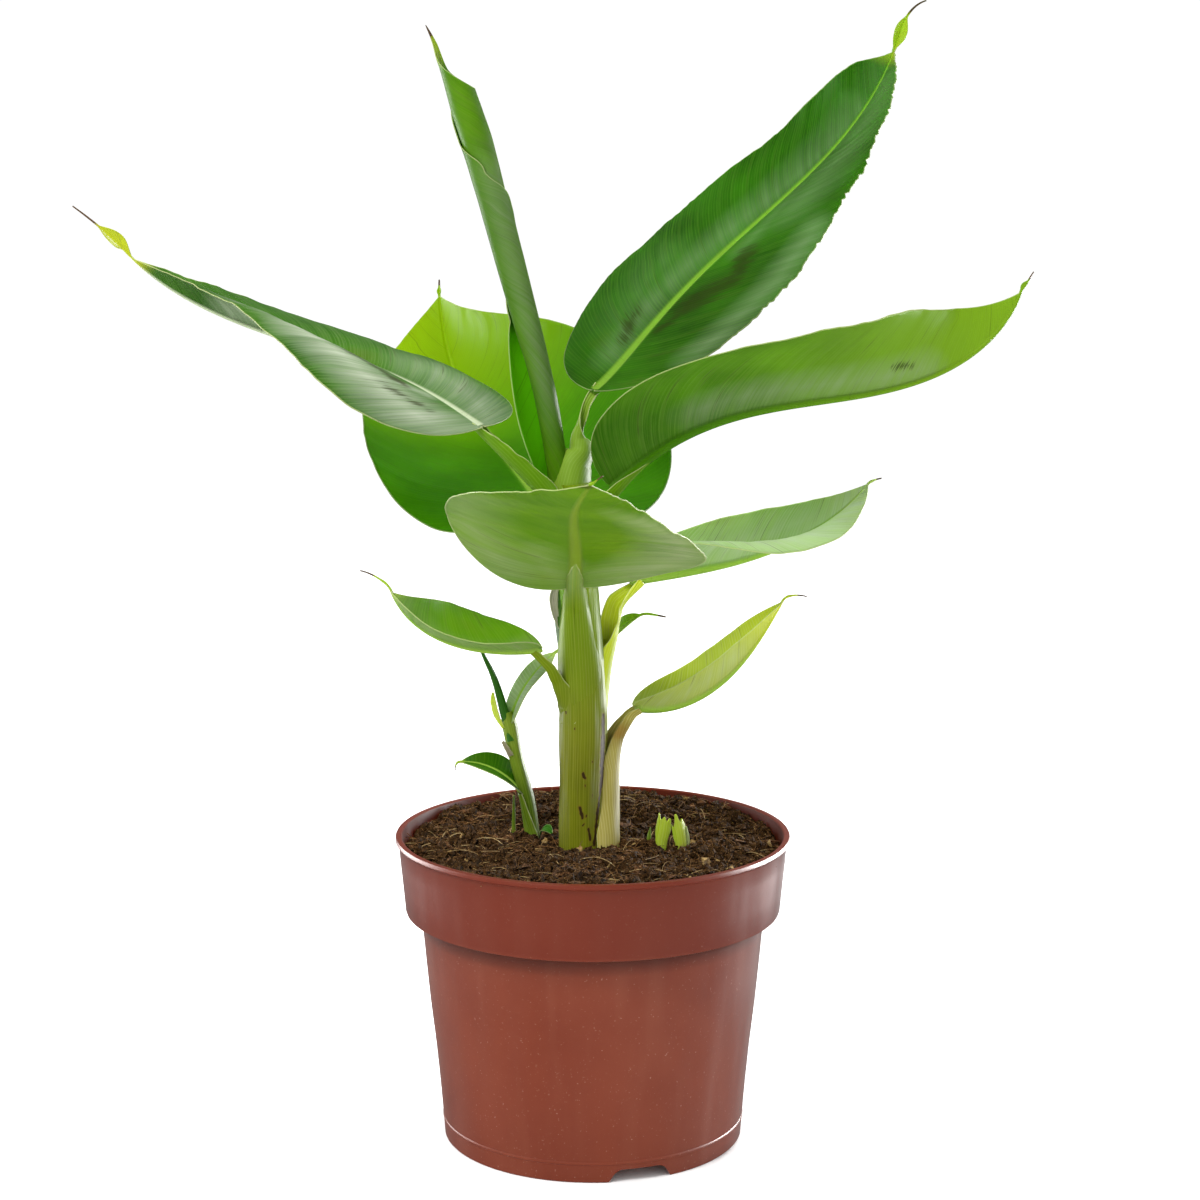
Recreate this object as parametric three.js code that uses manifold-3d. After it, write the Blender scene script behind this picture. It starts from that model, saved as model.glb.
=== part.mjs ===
// Young dwarf banana plant in its nursery pot: a leaning pseudostem with eight leaves, one of them
// still rolled, a small sucker and the stump of a cut shoot, standing in potting soil.
// Millimetres, +Z up. The origin is on the pot's axis, in the plane the pot stands on.
import * as THREE from "three";
import { mergeVertices } from "three/addons/utils/BufferGeometryUtils.js";
import Module from "manifold-3d";

const wasm = await Module();
wasm.setup();

// ---------------------------------------------------------------- driving dimensions
const GAP = 0.3;                   // clearance between neighbouring pieces

const POT_HEIGHT = 165;
const RIM_RADIUS = 105;            // outside, at the lip
const LIP_HEIGHT = 3;
const COLLAR_TOP_RADIUS = 103.2;   // the wide band below the lip
const COLLAR_FOOT_RADIUS = 99.9;
const COLLAR_FOOT_HEIGHT = 125.5;
const BODY_TOP_RADIUS = 91.6;      // where the tapered body meets the band
const BODY_TOP_HEIGHT = 122;
const FOOT_RADIUS = 80.2;
const POT_WALL = 2;
const EDGE_EASE = 0.8;             // how far the moulded corners are eased
const SHELF_RISE = 1.5;            // rise of the shelf from the body out to the band
const FLOOR_HEIGHT = 10.5;         // underside of the raised floor
const PAD_RADIUS = 14;             // flat pad under the middle of the floor
const POT_SIDES = 28;
const NOTCHES = 3;                 // water notches cut in the foot skirt
const NOTCH_AZIMUTH = -72;
const NOTCH_HEIGHT = 7;
const NOTCH_WIDTHS = [32.5, 25];   // at the ground and at the top
const NOTCH_REACH = 14;            // depth of each notch's cutter, from 4 mm outside the skirt
const DRAINS = 8;
const DRAIN_RADIUS = 5;
const DRAIN_SIDES = 8;
const DRAIN_CIRCLE = 52;

const SOIL_LEVEL = 158;            // where the stems leave the soil
const SOIL_EDGE = 154.5;           // at the pot wall
const SOIL_FLAT_RADIUS = 62;
const SOIL_SLACK = 0.4;            // what the soil keeps clear of the wall beyond the gap
const SOIL_SIDES = 28;

const BLADE_THICKNESS = 1.4;
const TAIL_HALF_WIDTH = 0.9;
const TIP_ROWS = 3;
const PATH_STEPS = 120;            // steps along a midrib when its path is summed
const BEND_REACH = 0.12;           // share of the blade over which the petiole's bend dies out
const LOBE_REACH = 0.14;           // share of the blade over which the base lobes reach back
const SPOON_SHARE = 0.6;           // share of the tip that is spread as a spoon
const CROWDING = 0.11;             // how far rows are crowded towards a blade's ends

const COLOURS = {
  pot: 0x8a4a38, soil: 0x33241a, stem: 0x8a9a3c, sheath: 0xb3a862, petiole: 0x9dab45,
  leaf: 0x3f7a1e, rolled: 0x567f2d, shoot: 0xa9c93f,
};
const ROUGHNESS = { pot: 0.45, soil: 1, plant: 0.55 };

// The leaves. Heights are above the soil. A triple gives the value at base, middle and tip.
// heading: compass angle of the midrib in plan, from +X towards +Y; rise: its slope; bend: what the
// petiole's curve adds at the base; roll: turn of the blade about the midrib; fold: angle of each
// half above the blade's plane at the midrib; curl: how much further it turns by its margin.
// tip: the drawn-out end past the blade, with the half width of its spoon and how far it turns over.
// stalk: the petiole's centre line from inside the stem, which ends at the blade's base.
const LEAVES = {
  upper_right: {
    base: [1, 5, 242.5], length: 272, width: [69, 72], lobe: 2,
    heading: [45, 32, 42], rise: [68, 36, 62], bend: -40, roll: [21, 22, 29],
    left: { fold: [-9, 3, 29], curl: [-9, -29, 6] },
    right: { fold: [19, 25, 39], curl: [3, -11, 4] },
    outline: { widest: 0.35, shoulder: 0.56, point: 1.3 },
    tip: { length: 34, heading: [20, 10, 0], rise: [72, 64, 15], turn: 60, spoon: 4 },
    stalk: {
      line: [[-9, 3, 186], [-9.3, 3.5, 199], [-6.6, 4, 210], [-7.9, 4, 217], [-7.6, 4, 222], [-4.8, 4, 228]],
      radius: [7.4, 7.6, 7.2, 4.2, 2.2, 2, 1.8],
    },
  },
  right: {
    base: [10.5, -19.5, 193], length: 240, width: [61, 64], lobe: 0,
    heading: [-12, 2, -2], rise: [74, 8, 72], bend: -29, roll: [-16, -17, -29],
    left: { fold: [50, 49, 58], curl: [0, -15, 5] },
    right: { fold: [44, 41, 63], curl: [-1, -37, 22] },
    outline: { widest: 0.4, shoulder: 0.49, point: 2 },
    tip: { length: 12, heading: [0, 0, 0], rise: [40, 60, 58], turn: 0, spoon: 2 },
    stalk: { line: [[-3, -3, 162], [1.5, -8, 176], [6, -14, 186.5]], radius: [7, 6, 5, 4.2] },
  },
  left: {
    base: [-58, -14, 226], length: 211, width: [73, 71], lobe: 3,
    heading: [147, 167, 186], rise: [43, 16, 45], bend: -17, roll: [-7, -1, -2],
    left: { fold: [-1, 40, 65], curl: [0, -63, -43] },
    right: { fold: [0, 22, 43], curl: [-7, -40, -8] },
    outline: { widest: 0.33, shoulder: 0.41, point: 1.3 },
    tip: { length: 41, heading: [184, 180, 180], rise: [50, 42, 36], turn: 60, spoon: 5 },
    stalk: { line: [[-15, -4, 174], [-20, -6, 188], [-31, -9.5, 200], [-45, -12, 213.5]],
      radius: [5.5, 5, 4.2, 3.8, 3.3] },
  },
  back: {
    base: [-27.5, 20.5, 182.5], length: 256, width: [83, 90], lobe: 8,
    heading: [95, 111, 102], rise: [19, 19, 61], bend: -25, roll: [-4, -12, -24],
    left: { fold: [-15, 10, 8], curl: [-18, 28, -7] },
    right: { fold: [-15, 17, 34], curl: [-17, 23, 16] },
    outline: { widest: 0.35, shoulder: 0.43, point: 2 },
    tip: { length: 10, heading: [102, 92, 92], rise: [70, 80, 80], turn: 0, spoon: 1.5 },
    stalk: { line: [[-10, 2, 146], [-15, 8, 165], [-23, 15, 178]], radius: [6.5, 5.5, 4.8, 4.2] },
  },
  front: {
    base: [-9.5, -28.5, 146.5], length: 218, width: [65, 63], lobe: 8,
    heading: [273, 270, 281], rise: [37, 17, 21], bend: -5, roll: [1, -7, -3],
    left: { fold: [4, -2, -2], curl: [-12, -8, -1] },
    right: { fold: [1, 5, 1], curl: [-19, -3, 1] },
    outline: { widest: 0.42, shoulder: 0.51, point: 1.8 },
    tip: { length: 8, heading: [290, 340, 340], rise: [25, 35, 35], turn: 0, spoon: 1.6 },
    stalk: { line: [[-7, -2, 104], [-8, -4, 118], [-9, -9.5, 131], [-9.3, -18, 140]],
      radius: [11, 9.6, 6.6, 5.3, 5] },
  },
  right_mid: {
    base: [21, 5.5, 142], length: 140, width: [41, 49], lobe: 6,
    heading: [27, 2, 10], rise: [4, 18, 51], bend: -1, roll: [-13, 1, 10],
    left: { fold: [36, 26, 8], curl: [-6, -1, 2] },
    right: { fold: [64, 44, -10], curl: [-57, -65, -4] },
    outline: { widest: 0.41, shoulder: 0.55, point: 2.1 },
    tip: { length: 8, heading: [5, 0, 0], rise: [35, 20, 10], turn: 0, spoon: 1.2 },
    stalk: { line: [[4, 4, 96], [7.5, 5, 110], [8.7, 5.5, 120], [12, 5.5, 131]],
      radius: [2.6, 3.8, 4.6, 4.6, 4.2] },
  },
  left_lower: {
    base: [-27, -20.5, 110], length: 89, width: [20, 30], lobe: 1,
    heading: [188, 183, 177], rise: [1, 17, 69], bend: -9, roll: [2, -3, -8],
    left: { fold: [37, 30, 46], curl: [-2, -15, 0] },
    right: { fold: [35, 35, 52], curl: [-3, -12, 4] },
    outline: { widest: 0.41, shoulder: 0.57, point: 2.1 },
    tip: { length: 20, heading: [180, 180, 180], rise: [45, 34, 12], turn: 0, spoon: 1 },
    stalk: { line: [[-14.6, -2.5, 62], [-15.8, -5, 78], [-19, -9.5, 90], [-22.5, -15, 99.5]],
      radius: [4.6, 4.2, 3, 2.8, 2.5] },
  },
  right_lower: {
    base: [23.5, 1.5, 74.5], length: 102, width: [23, 24], lobe: 3,
    heading: [7, 6, 9], rise: [-15, 41, 59], bend: 3, roll: [4, -1, 8],
    left: { fold: [51, 42, 52], curl: [4, -5, 5] },
    right: { fold: [44, 43, 46], curl: [-1, -4, 1] },
    outline: { widest: 0.41, shoulder: 0.52, point: 2 },
    tip: { length: 14, heading: [5, 0, 0], rise: [35, 8, -15], turn: 0, spoon: 1 },
  },
  back_shoot: {
    base: [5, 20, 103], length: 28, width: [7, 7], lobe: 3,
    heading: [-2, -1, 1], rise: [53, 43, 18], bend: -6, roll: [17, 23, 30],
    left: { fold: [-16, 7, 29], curl: [-17, -9, 8] },
    right: { fold: [16, 17, 21], curl: [2, 0, 5] },
    outline: { widest: 0.4, shoulder: 0.55, point: 2 },
    tip: { length: 13, heading: [0, 0, 0], rise: [-2, -8, -12], turn: 0, spoon: 0.9 },
    stalk: { line: [[-3, 7, 78], [0, 14, 92]], radius: [2.6, 2.2, 1.4] },
  },
  sucker_low: {
    base: [-38.5, 9, 26.5], length: 38, width: [9, 10], lobe: 2,
    heading: [183, 177, 172], rise: [56, 27, -6], bend: -5, roll: [-5, -12, -17],
    left: { fold: [12, 12, 9], curl: [-3, -8, -5] },
    right: { fold: [33, 33, 32], curl: [-2, 3, 4] },
    outline: { widest: 0.4, shoulder: 0.56, point: 2 },
    tip: { length: 6.5, heading: [172, 172, 172], rise: [-20, -65, -110], turn: 0, spoon: 0.9 },
  },
  sucker_right: {
    base: [-43.5, 7, 67.5], length: 43, width: [8, 11], lobe: 4,
    heading: [11, 9, 16], rise: [74, 55, 36], bend: -2, roll: [30, 28, 41],
    left: { fold: [21, 18, 29], curl: [2, -19, 8] },
    right: { fold: [22, 23, 13], curl: [-6, 2, -11] },
    outline: { widest: 0.41, shoulder: 0.54, point: 2.1 },
    tip: { length: 5, heading: [16, 16, 16], rise: [30, 25, 20], turn: 0, spoon: 0.9 },
  },
};

// The limbs: centre lines above the soil, each with its radius at every point. Those that stand in
// the soil start below its level and are cut flat there.
const STEM = {
  line: [[-6, 0, -6], [-6, 0, 22], [-5.5, 0, 46], [-5, 0, 68], [-5.6, 0, 90], [-6.4, 0, 112],
    [-7, -0.5, 138], [-8, -1, 166], [-9.4, -1, 194]],
  radius: [12, 11.8, 12.2, 13, 12.2, 11.4, 10, 9.8, 9.4],
};
const OUTER_SHEATH = {
  line: [[6.5, 11, -6], [7, 10.5, 30], [10.5, 7, 52], [16.4, 3.5, 66], [22, 1.7, 73.2]],
  radius: [8, 6.8, 5, 4.2, 3.8],
};
const SUCKER = {
  line: [[-31.7, 16.8, -6], [-35.5, 13, 22], [-41, 9, 45], [-44, 7.5, 62], [-46, 8, 70]],
  radius: [4.6, 4.2, 3.6, 4.2, 3.2],
};
const SPIKE = {
  line: [[-46.4, 8, 70.6], [-51, 8, 85], [-54, 8, 93], [-57.3, 8, 99.6], [-60.3, 8, 106]],
  radius: [2.6, 1.9, 1.5, 1, 0.5],
};
const ROLLED_LEAF = {
  line: [[-15.5, 1, 186], [-22.7, 1, 228], [-28.5, 1.5, 255], [-33.9, 1.5, 275], [-43, 2, 309],
    [-52, 2, 343], [-58.9, 2, 368], [-64.6, 2, 385], [-73.5, 2, 416]],
  radius: [6.2, 6.5, 6.7, 7.5, 8, 8.2, 8.6, 8.4, 8],
};
const ROLLED_MOUTH = { at: [-58.5, 2, 395], slope: 30 };   // the slanting open end of the roll
const ROLLED_TAIL = {
  line: [[-76, 2, 397], [-79, 2, 405], [-82.5, 2, 411.5], [-84.8, 2, 418], [-89, 2, 426]],
  radius: [3, 2, 1.2, 0.9, 0.7],
};
const CUT_SHOOT = {
  cut_shoot_left: { line: [[36, -2, -6], [36, -2, 7], [37.5, -2, 13]], radius: [3.2, 3, 1.6] },
  cut_shoot_right: { line: [[45.5, -1, -6], [45, -1, 7], [44, -1, 12]], radius: [3.2, 2.8, 1.4] },
};

// The free outer margin of the rolled leaf: a narrow crescent standing off its left side.
const ROLLED_MARGIN = {
  line: [[-21.5, -5.5, 191], [-29, -5, 208], [-35, -4.5, 224], [-38.6, -4, 240], [-42.3, -3.5, 279]],
  width: 8, thickness: 1.2, heading: 180,
};

// ---------------------------------------------------------------- helpers
const radians = THREE.MathUtils.degToRad;
const vector = (p) => new THREE.Vector3(...p);
const parts = new THREE.Group();
parts.name = "banana_plant";

// Value at share t of a triple [base, middle, tip], on the parabola through the three.
function along([base, middle, tip], t) {
  return base * (1 - t) * (1 - 2 * t) + middle * 4 * t * (1 - t) + tip * t * (2 * t - 1);
}

// A closed three.js geometry as a solid that can be cut and joined.
function solid(geometry) {
  const bare = geometry.clone();
  for (const name of Object.keys(bare.attributes)) if (name !== "position") bare.deleteAttribute(name);
  const welded = mergeVertices(bare, 1e-4);
  const manifold = new wasm.Manifold(new wasm.Mesh({
    numProp: 3,
    vertProperties: new Float32Array(welded.attributes.position.array),
    triVerts: new Uint32Array(welded.index.array),
  }));
  return manifold.volume() < 0 ? flipped(welded) : manifold;
}

function flipped(welded) {
  const corners = new Uint32Array(welded.index.array);
  for (let i = 0; i < corners.length; i += 3) [corners[i], corners[i + 1]] = [corners[i + 1], corners[i]];
  return new wasm.Manifold(new wasm.Mesh({
    numProp: 3,
    vertProperties: new Float32Array(welded.attributes.position.array),
    triVerts: corners,
  }));
}

// The largest piece of a solid, as a geometry: what a cut leaves in crumbs is dropped.
function geometryOf(manifold) {
  const pieces = manifold.decompose().sort((a, b) => b.volume() - a.volume());
  const { vertProperties, triVerts, numProp } = pieces[0].getMesh();
  const position = new Float32Array((vertProperties.length / numProp) * 3);
  for (let i = 0; i < position.length / 3; i++) {
    for (let k = 0; k < 3; k++) position[3 * i + k] = vertProperties[numProp * i + k];
  }
  const geometry = new THREE.BufferGeometry();
  geometry.setAttribute("position", new THREE.BufferAttribute(position, 3));
  geometry.setIndex(new THREE.BufferAttribute(new Uint32Array(triVerts), 1));
  geometry.computeVertexNormals();
  return geometry;
}

function place(name, manifold, colour, roughness, parent = parts) {
  const material = new THREE.MeshStandardMaterial({ color: colour, roughness, metalness: 0 });
  const mesh = new THREE.Mesh(geometryOf(manifold), material);
  mesh.name = name;
  parent.add(mesh);
}

// Moves every vertex of a geometry through a function of its old position.
function reshape(geometry, move) {
  const position = geometry.attributes.position;
  const old = new THREE.Vector3();
  for (let i = 0; i < position.count; i++) {
    old.fromBufferAttribute(position, i);
    const next = move(old);
    position.setXYZ(i, next.x, next.y, next.z);
  }
  return geometry;
}

// A tapering limb with flat ends along a smooth line; grow adds clearance all round it.
function limb({ line, radius }, { grow = 0, sides = 12, steps = 2 } = {}) {
  const curve = new THREE.CatmullRomCurve3(line.map(vector), false, "centripetal");
  const across = new THREE.Vector3(0, 1, 0);
  const stretches = line.length - 1;
  const tube = new THREE.CylinderGeometry(1, 1, 1, sides, steps * stretches);
  return solid(reshape(tube, (p) => {
    const t = p.y + 0.5;
    const spot = Math.min(t * stretches, stretches - 0.0001);
    const i = Math.floor(spot);
    const size = radius[i] + (radius[i + 1] - radius[i]) * (spot - i) + grow;
    const ahead = curve.getTangent(t);
    const side = across.clone().cross(ahead).normalize();
    const front = ahead.clone().cross(side);
    const longer = t < 0.001 ? -grow : t > 0.999 ? grow : 0;
    return curve.getPoint(t).addScaledVector(ahead, longer)
      .addScaledVector(side, p.x * size).addScaledVector(front, p.z * size);
  }));
}

// ---------------------------------------------------------------- pot
function potProfile() {
  const inner = (radius) => radius - POT_WALL;
  return [
    [0, 0], [PAD_RADIUS, 0], [PAD_RADIUS, FLOOR_HEIGHT], [inner(FOOT_RADIUS), FLOOR_HEIGHT],
    [inner(FOOT_RADIUS) - EDGE_EASE, 0], [FOOT_RADIUS, 0], [BODY_TOP_RADIUS, BODY_TOP_HEIGHT],
    [COLLAR_FOOT_RADIUS - EDGE_EASE, BODY_TOP_HEIGHT + SHELF_RISE], [COLLAR_FOOT_RADIUS, COLLAR_FOOT_HEIGHT],
    [COLLAR_TOP_RADIUS, POT_HEIGHT - LIP_HEIGHT], [RIM_RADIUS, POT_HEIGHT - LIP_HEIGHT + EDGE_EASE],
    [RIM_RADIUS, POT_HEIGHT - EDGE_EASE], [RIM_RADIUS - EDGE_EASE, POT_HEIGHT],
    [inner(COLLAR_TOP_RADIUS) + EDGE_EASE, POT_HEIGHT], [inner(COLLAR_TOP_RADIUS), POT_HEIGHT - EDGE_EASE],
    [inner(COLLAR_FOOT_RADIUS), COLLAR_FOOT_HEIGHT + SHELF_RISE],
    [inner(BODY_TOP_RADIUS), BODY_TOP_HEIGHT + SHELF_RISE],
    [inner(FOOT_RADIUS) + EDGE_EASE, FLOOR_HEIGHT + POT_WALL], [0, FLOOR_HEIGHT + POT_WALL],
  ];
}

function lathe(profile, sides) {
  const turned = new THREE.LatheGeometry(profile.map(([r, z]) => new THREE.Vector2(r, z)), sides);
  return solid(turned.rotateX(Math.PI / 2));
}

function notch(azimuth) {
  const [foot, top] = NOTCH_WIDTHS.map((width) => width / 2);
  const outline = new THREE.Shape([[-foot, -1], [foot, -1], [top, NOTCH_HEIGHT], [-top, NOTCH_HEIGHT]]
    .map(([x, y]) => new THREE.Vector2(x, y)));
  const cutter = new THREE.ExtrudeGeometry(outline, { depth: NOTCH_REACH, bevelEnabled: false });
  return solid(cutter.rotateX(Math.PI / 2).translate(0, NOTCH_REACH - FOOT_RADIUS - 4, 0)
    .rotateZ(radians(azimuth + 90)));
}

function drain(azimuth) {
  const hole = new THREE.CylinderGeometry(DRAIN_RADIUS, DRAIN_RADIUS, 3 * POT_WALL, DRAIN_SIDES);
  hole.rotateX(Math.PI / 2).translate(DRAIN_CIRCLE, 0, FLOOR_HEIGHT + POT_WALL / 2);
  return solid(hole.rotateZ(radians(azimuth)));
}

function pot() {
  let shell = lathe(potProfile(), POT_SIDES);
  for (let i = 0; i < NOTCHES; i++) shell = shell.subtract(notch(NOTCH_AZIMUTH + (i * 360) / NOTCHES));
  for (let i = 0; i < DRAINS; i++) shell = shell.subtract(drain((i * 360) / DRAINS));
  return shell;
}

// ---------------------------------------------------------------- soil
function soil() {
  const wall = POT_WALL + GAP;
  return lathe([
    [0, FLOOR_HEIGHT + POT_WALL + GAP], [FOOT_RADIUS - wall, FLOOR_HEIGHT + POT_WALL + GAP],
    [BODY_TOP_RADIUS - wall - SOIL_SLACK, BODY_TOP_HEIGHT],
    [BODY_TOP_RADIUS - wall - SOIL_SLACK, BODY_TOP_HEIGHT + POT_WALL],
    [COLLAR_FOOT_RADIUS - wall - SOIL_SLACK, COLLAR_FOOT_HEIGHT + 2 * POT_WALL],
    [COLLAR_TOP_RADIUS - wall - 2 * SOIL_SLACK, SOIL_EDGE],
    [SOIL_FLAT_RADIUS, SOIL_LEVEL], [0, SOIL_LEVEL],
  ], SOIL_SIDES);
}

// ---------------------------------------------------------------- leaves
// Width of a blade at share t of its length, as a share of its widest.
function outlineAt({ widest, shoulder, point }, t) {
  if (t < widest) return (1 - (1 - t / widest) ** 2) ** shoulder;
  return Math.max(0, 1 - ((t - widest) / (1 - widest)) ** point);
}

// Directions of a blade at one station: ahead along the midrib, left across it, up from it.
function directions(heading, rise, roll) {
  const [h, r, o] = [heading, rise, roll].map(radians);
  const ahead = new THREE.Vector3(Math.cos(r) * Math.cos(h), Math.cos(r) * Math.sin(h), Math.sin(r));
  const level = new THREE.Vector3(-Math.sin(h), Math.cos(h), 0);
  const above = ahead.clone().cross(level);
  const left = level.clone().multiplyScalar(Math.cos(o)).addScaledVector(above, Math.sin(o));
  const up = above.multiplyScalar(Math.cos(o)).addScaledVector(level, -Math.sin(o));
  return { ahead, left, up };
}

// The midrib's stations, from the base (0) past the blade's end (1) to the end of the tip (2).
function midrib(leaf) {
  const stations = [];
  const spot = vector(leaf.base);
  for (let i = 0; i <= 2 * PATH_STEPS; i++) {
    const t = i / PATH_STEPS;
    const u = Math.min(t, 1);
    const tip = Math.max(t - 1, 0);
    const ease = Math.min(4 * tip, 1);
    const bladeHeading = along(leaf.heading, u);
    const bladeRise = along(leaf.rise, u) + leaf.bend * Math.exp(-u / BEND_REACH);
    const heading = bladeHeading + (along(leaf.tip.heading, tip) - bladeHeading) * ease;
    const rise = bladeRise + (along(leaf.tip.rise, tip) - bladeRise) * ease;
    const station = directions(heading, rise, along(leaf.roll, u) + leaf.tip.turn * ease);
    const step = (t > 1 ? leaf.tip.length : leaf.length) / PATH_STEPS;
    if (i > 0) {
      const mean = station.ahead.clone().add(stations[i - 1].ahead).multiplyScalar(0.5);
      spot.addScaledVector(mean, step);
    }
    stations.push({ ...station, spot: spot.clone() });
  }
  return stations;
}

// A point of the blade: t along it, across from -1 (right margin) to 1 (left margin), and
// offset out of the surface.
function bladePoint(leaf, stations, t, across, offset) {
  const { ahead, left, up, spot } = stations[Math.round(t * PATH_STEPS)];
  const u = Math.min(t, 1);
  const tip = Math.max(t - 1, 0);
  const half = across < 0 ? leaf.right : leaf.left;
  const side = across < 0 ? -1 : 1;
  const share = Math.abs(across);
  const spoon = leaf.tip.spoon * Math.sin((Math.PI * Math.min(tip, SPOON_SHARE)) / SPOON_SHARE);
  const broad = leaf.width[across < 0 ? 1 : 0] * outlineAt(leaf.outline, u);
  const width = Math.max(t > 1 ? spoon : broad, TAIL_HALF_WIDTH);
  const fold = radians(along(half.fold, u)) * (tip > 0 ? 1 - tip : 1);
  const curl = radians(along(half.curl, u)) || 1e-4;
  const angle = fold + curl * share;
  const out = (width * (Math.sin(angle) - Math.sin(fold))) / curl;
  const lift = (width * (Math.cos(fold) - Math.cos(angle))) / curl;
  const lobe = leaf.lobe * share ** 1.5 * Math.exp(-u / LOBE_REACH);
  const point = spot.clone().addScaledVector(left, side * out).addScaledVector(up, lift)
    .addScaledVector(ahead, -lobe);
  const lean = across === 0 ? 0 : angle;
  return point.addScaledVector(up, offset * Math.cos(lean))
    .addScaledVector(left, -side * offset * Math.sin(lean));
}

// Facets along and across a blade of this length.
function facets({ length }) {
  if (length > 150) return { rows: 16, columns: 6 };
  return length > 60 ? { rows: 12, columns: 4 } : { rows: 7, columns: 4 };
}

// A flat box whose upper and lower sides are split into triangles along the same diagonals, so
// that the two stay parallel when the box is bent.
function sheet(rows, columns) {
  const box = new THREE.BoxGeometry(1, 1, 1, rows, columns, 1);
  const lowerSide = box.groups[5];
  for (let i = lowerSide.start; i < lowerSide.start + lowerSide.count; i += 6) {
    const [a, b, d, , c] = box.index.array.slice(i, i + 6);
    box.index.array.set([a, b, c, a, c, d], i);
  }
  return box;
}

function blade(leaf, grow = 0) {
  const stations = midrib(leaf);
  const { rows, columns } = facets(leaf);
  const total = rows + TIP_ROWS;
  const thickness = BLADE_THICKNESS + 2 * grow;
  return solid(reshape(sheet(total, columns), (p) => {
    const row = Math.round((p.x + 0.5) * total);
    const even = Math.min(row / rows, 1);
    const t = row <= rows ? even - CROWDING * Math.sin(2 * Math.PI * even) : 1 + (row - rows) / TIP_ROWS;
    return bladePoint(leaf, stations, t, 2 * p.y, p.z * thickness);
  }));
}

// The stalk from inside the stem, stopping just short of the blade's base.
function stalk(leaf, options) {
  const { ahead } = midrib(leaf)[0];
  const stop = vector(leaf.base).addScaledVector(ahead, -GAP - 0.2);
  return limb({ line: [...leaf.stalk.line, stop.toArray()], radius: leaf.stalk.radius }, options);
}

// The rolled leaf: a tapering roll with a slanting mouth, drawn out into a tail on one side.
function rolledLeaf(options) {
  const { at, slope } = ROLLED_MOUTH;
  const below = new THREE.Vector3(-Math.sin(radians(slope)), 0, -Math.cos(radians(slope)));
  const reach = below.dot(vector(at)) - (options.grow ?? 0);
  const roll = limb(ROLLED_LEAF, options).trimByPlane(below.toArray(), reach);
  return roll.add(limb(ROLLED_TAIL, { ...options, sides: 6 }));
}

// The free margin of the rolled leaf: a crescent strip, widest at its middle.
function rolledMargin(grow) {
  const { line, width, thickness, heading } = ROLLED_MARGIN;
  const curve = new THREE.CatmullRomCurve3(line.map(vector));
  const out = new THREE.Vector3(Math.cos(radians(heading)), Math.sin(radians(heading)), 0);
  return solid(reshape(sheet(8, 3), (p) => {
    const t = p.x + 0.5;
    const reach = 1 + (width - 1) * Math.sin(Math.PI * t);
    const ahead = curve.getTangent(t);
    const flat = out.clone().cross(ahead).normalize();
    return curve.getPoint(t).addScaledVector(out, (p.y + 0.5) * reach)
      .addScaledVector(flat, p.z * (thickness + 2 * grow));
  }));
}

// ---------------------------------------------------------------- the plant, put together
place("pot", pot(), COLOURS.pot, ROUGHNESS.pot);
place("soil", soil(), COLOURS.soil, ROUGHNESS.soil);

const plant = new THREE.Group();
plant.position.z = SOIL_LEVEL + GAP;
parts.add(plant);

// Each piece is cut clear of those already standing, and at the soil.
const standing = [];
function stand(name, colour, make) {
  let piece = make(0).trimByPlane([0, 0, 1], 0);
  for (const other of standing) piece = piece.subtract(other);
  place(name, piece, colour, ROUGHNESS.plant, plant);
  standing.push(make(GAP));
}

stand("stem", COLOURS.stem, (grow) => limb(STEM, { grow }));
stand("leaf_rolled", COLOURS.rolled, (grow) => rolledLeaf({ grow, sides: 10, steps: 1 }));
stand("outer_sheath", COLOURS.sheath, (grow) => limb(OUTER_SHEATH, { grow, sides: 8 }));
stand("sucker_stem", COLOURS.petiole, (grow) => limb(SUCKER, { grow, sides: 8 }));
stand("sucker_spike", COLOURS.leaf, (grow) => limb(SPIKE, { grow, sides: 6, steps: 1 }));
for (const [name, spec] of Object.entries(CUT_SHOOT)) {
  stand(name, COLOURS.shoot, (grow) => limb(spec, { grow, sides: 8 }));
}
for (const [name, leaf] of Object.entries(LEAVES)) {
  if (leaf.stalk) stand(`petiole_${name}`, COLOURS.petiole, (grow) => stalk(leaf, { grow, sides: 8 }));
}
stand("leaf_rolled_margin", COLOURS.leaf, rolledMargin);
for (const [name, leaf] of Object.entries(LEAVES)) {
  stand(`leaf_${name}`, COLOURS.leaf, (grow) => blade(leaf, grow));
}

export default parts;
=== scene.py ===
# Young dwarf banana plant in its nursery pot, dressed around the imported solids.
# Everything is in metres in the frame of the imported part: +Z up, the origin under the pot's axis.
import math
import random

import bpy
from mathutils import Matrix, Vector, noise


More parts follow.
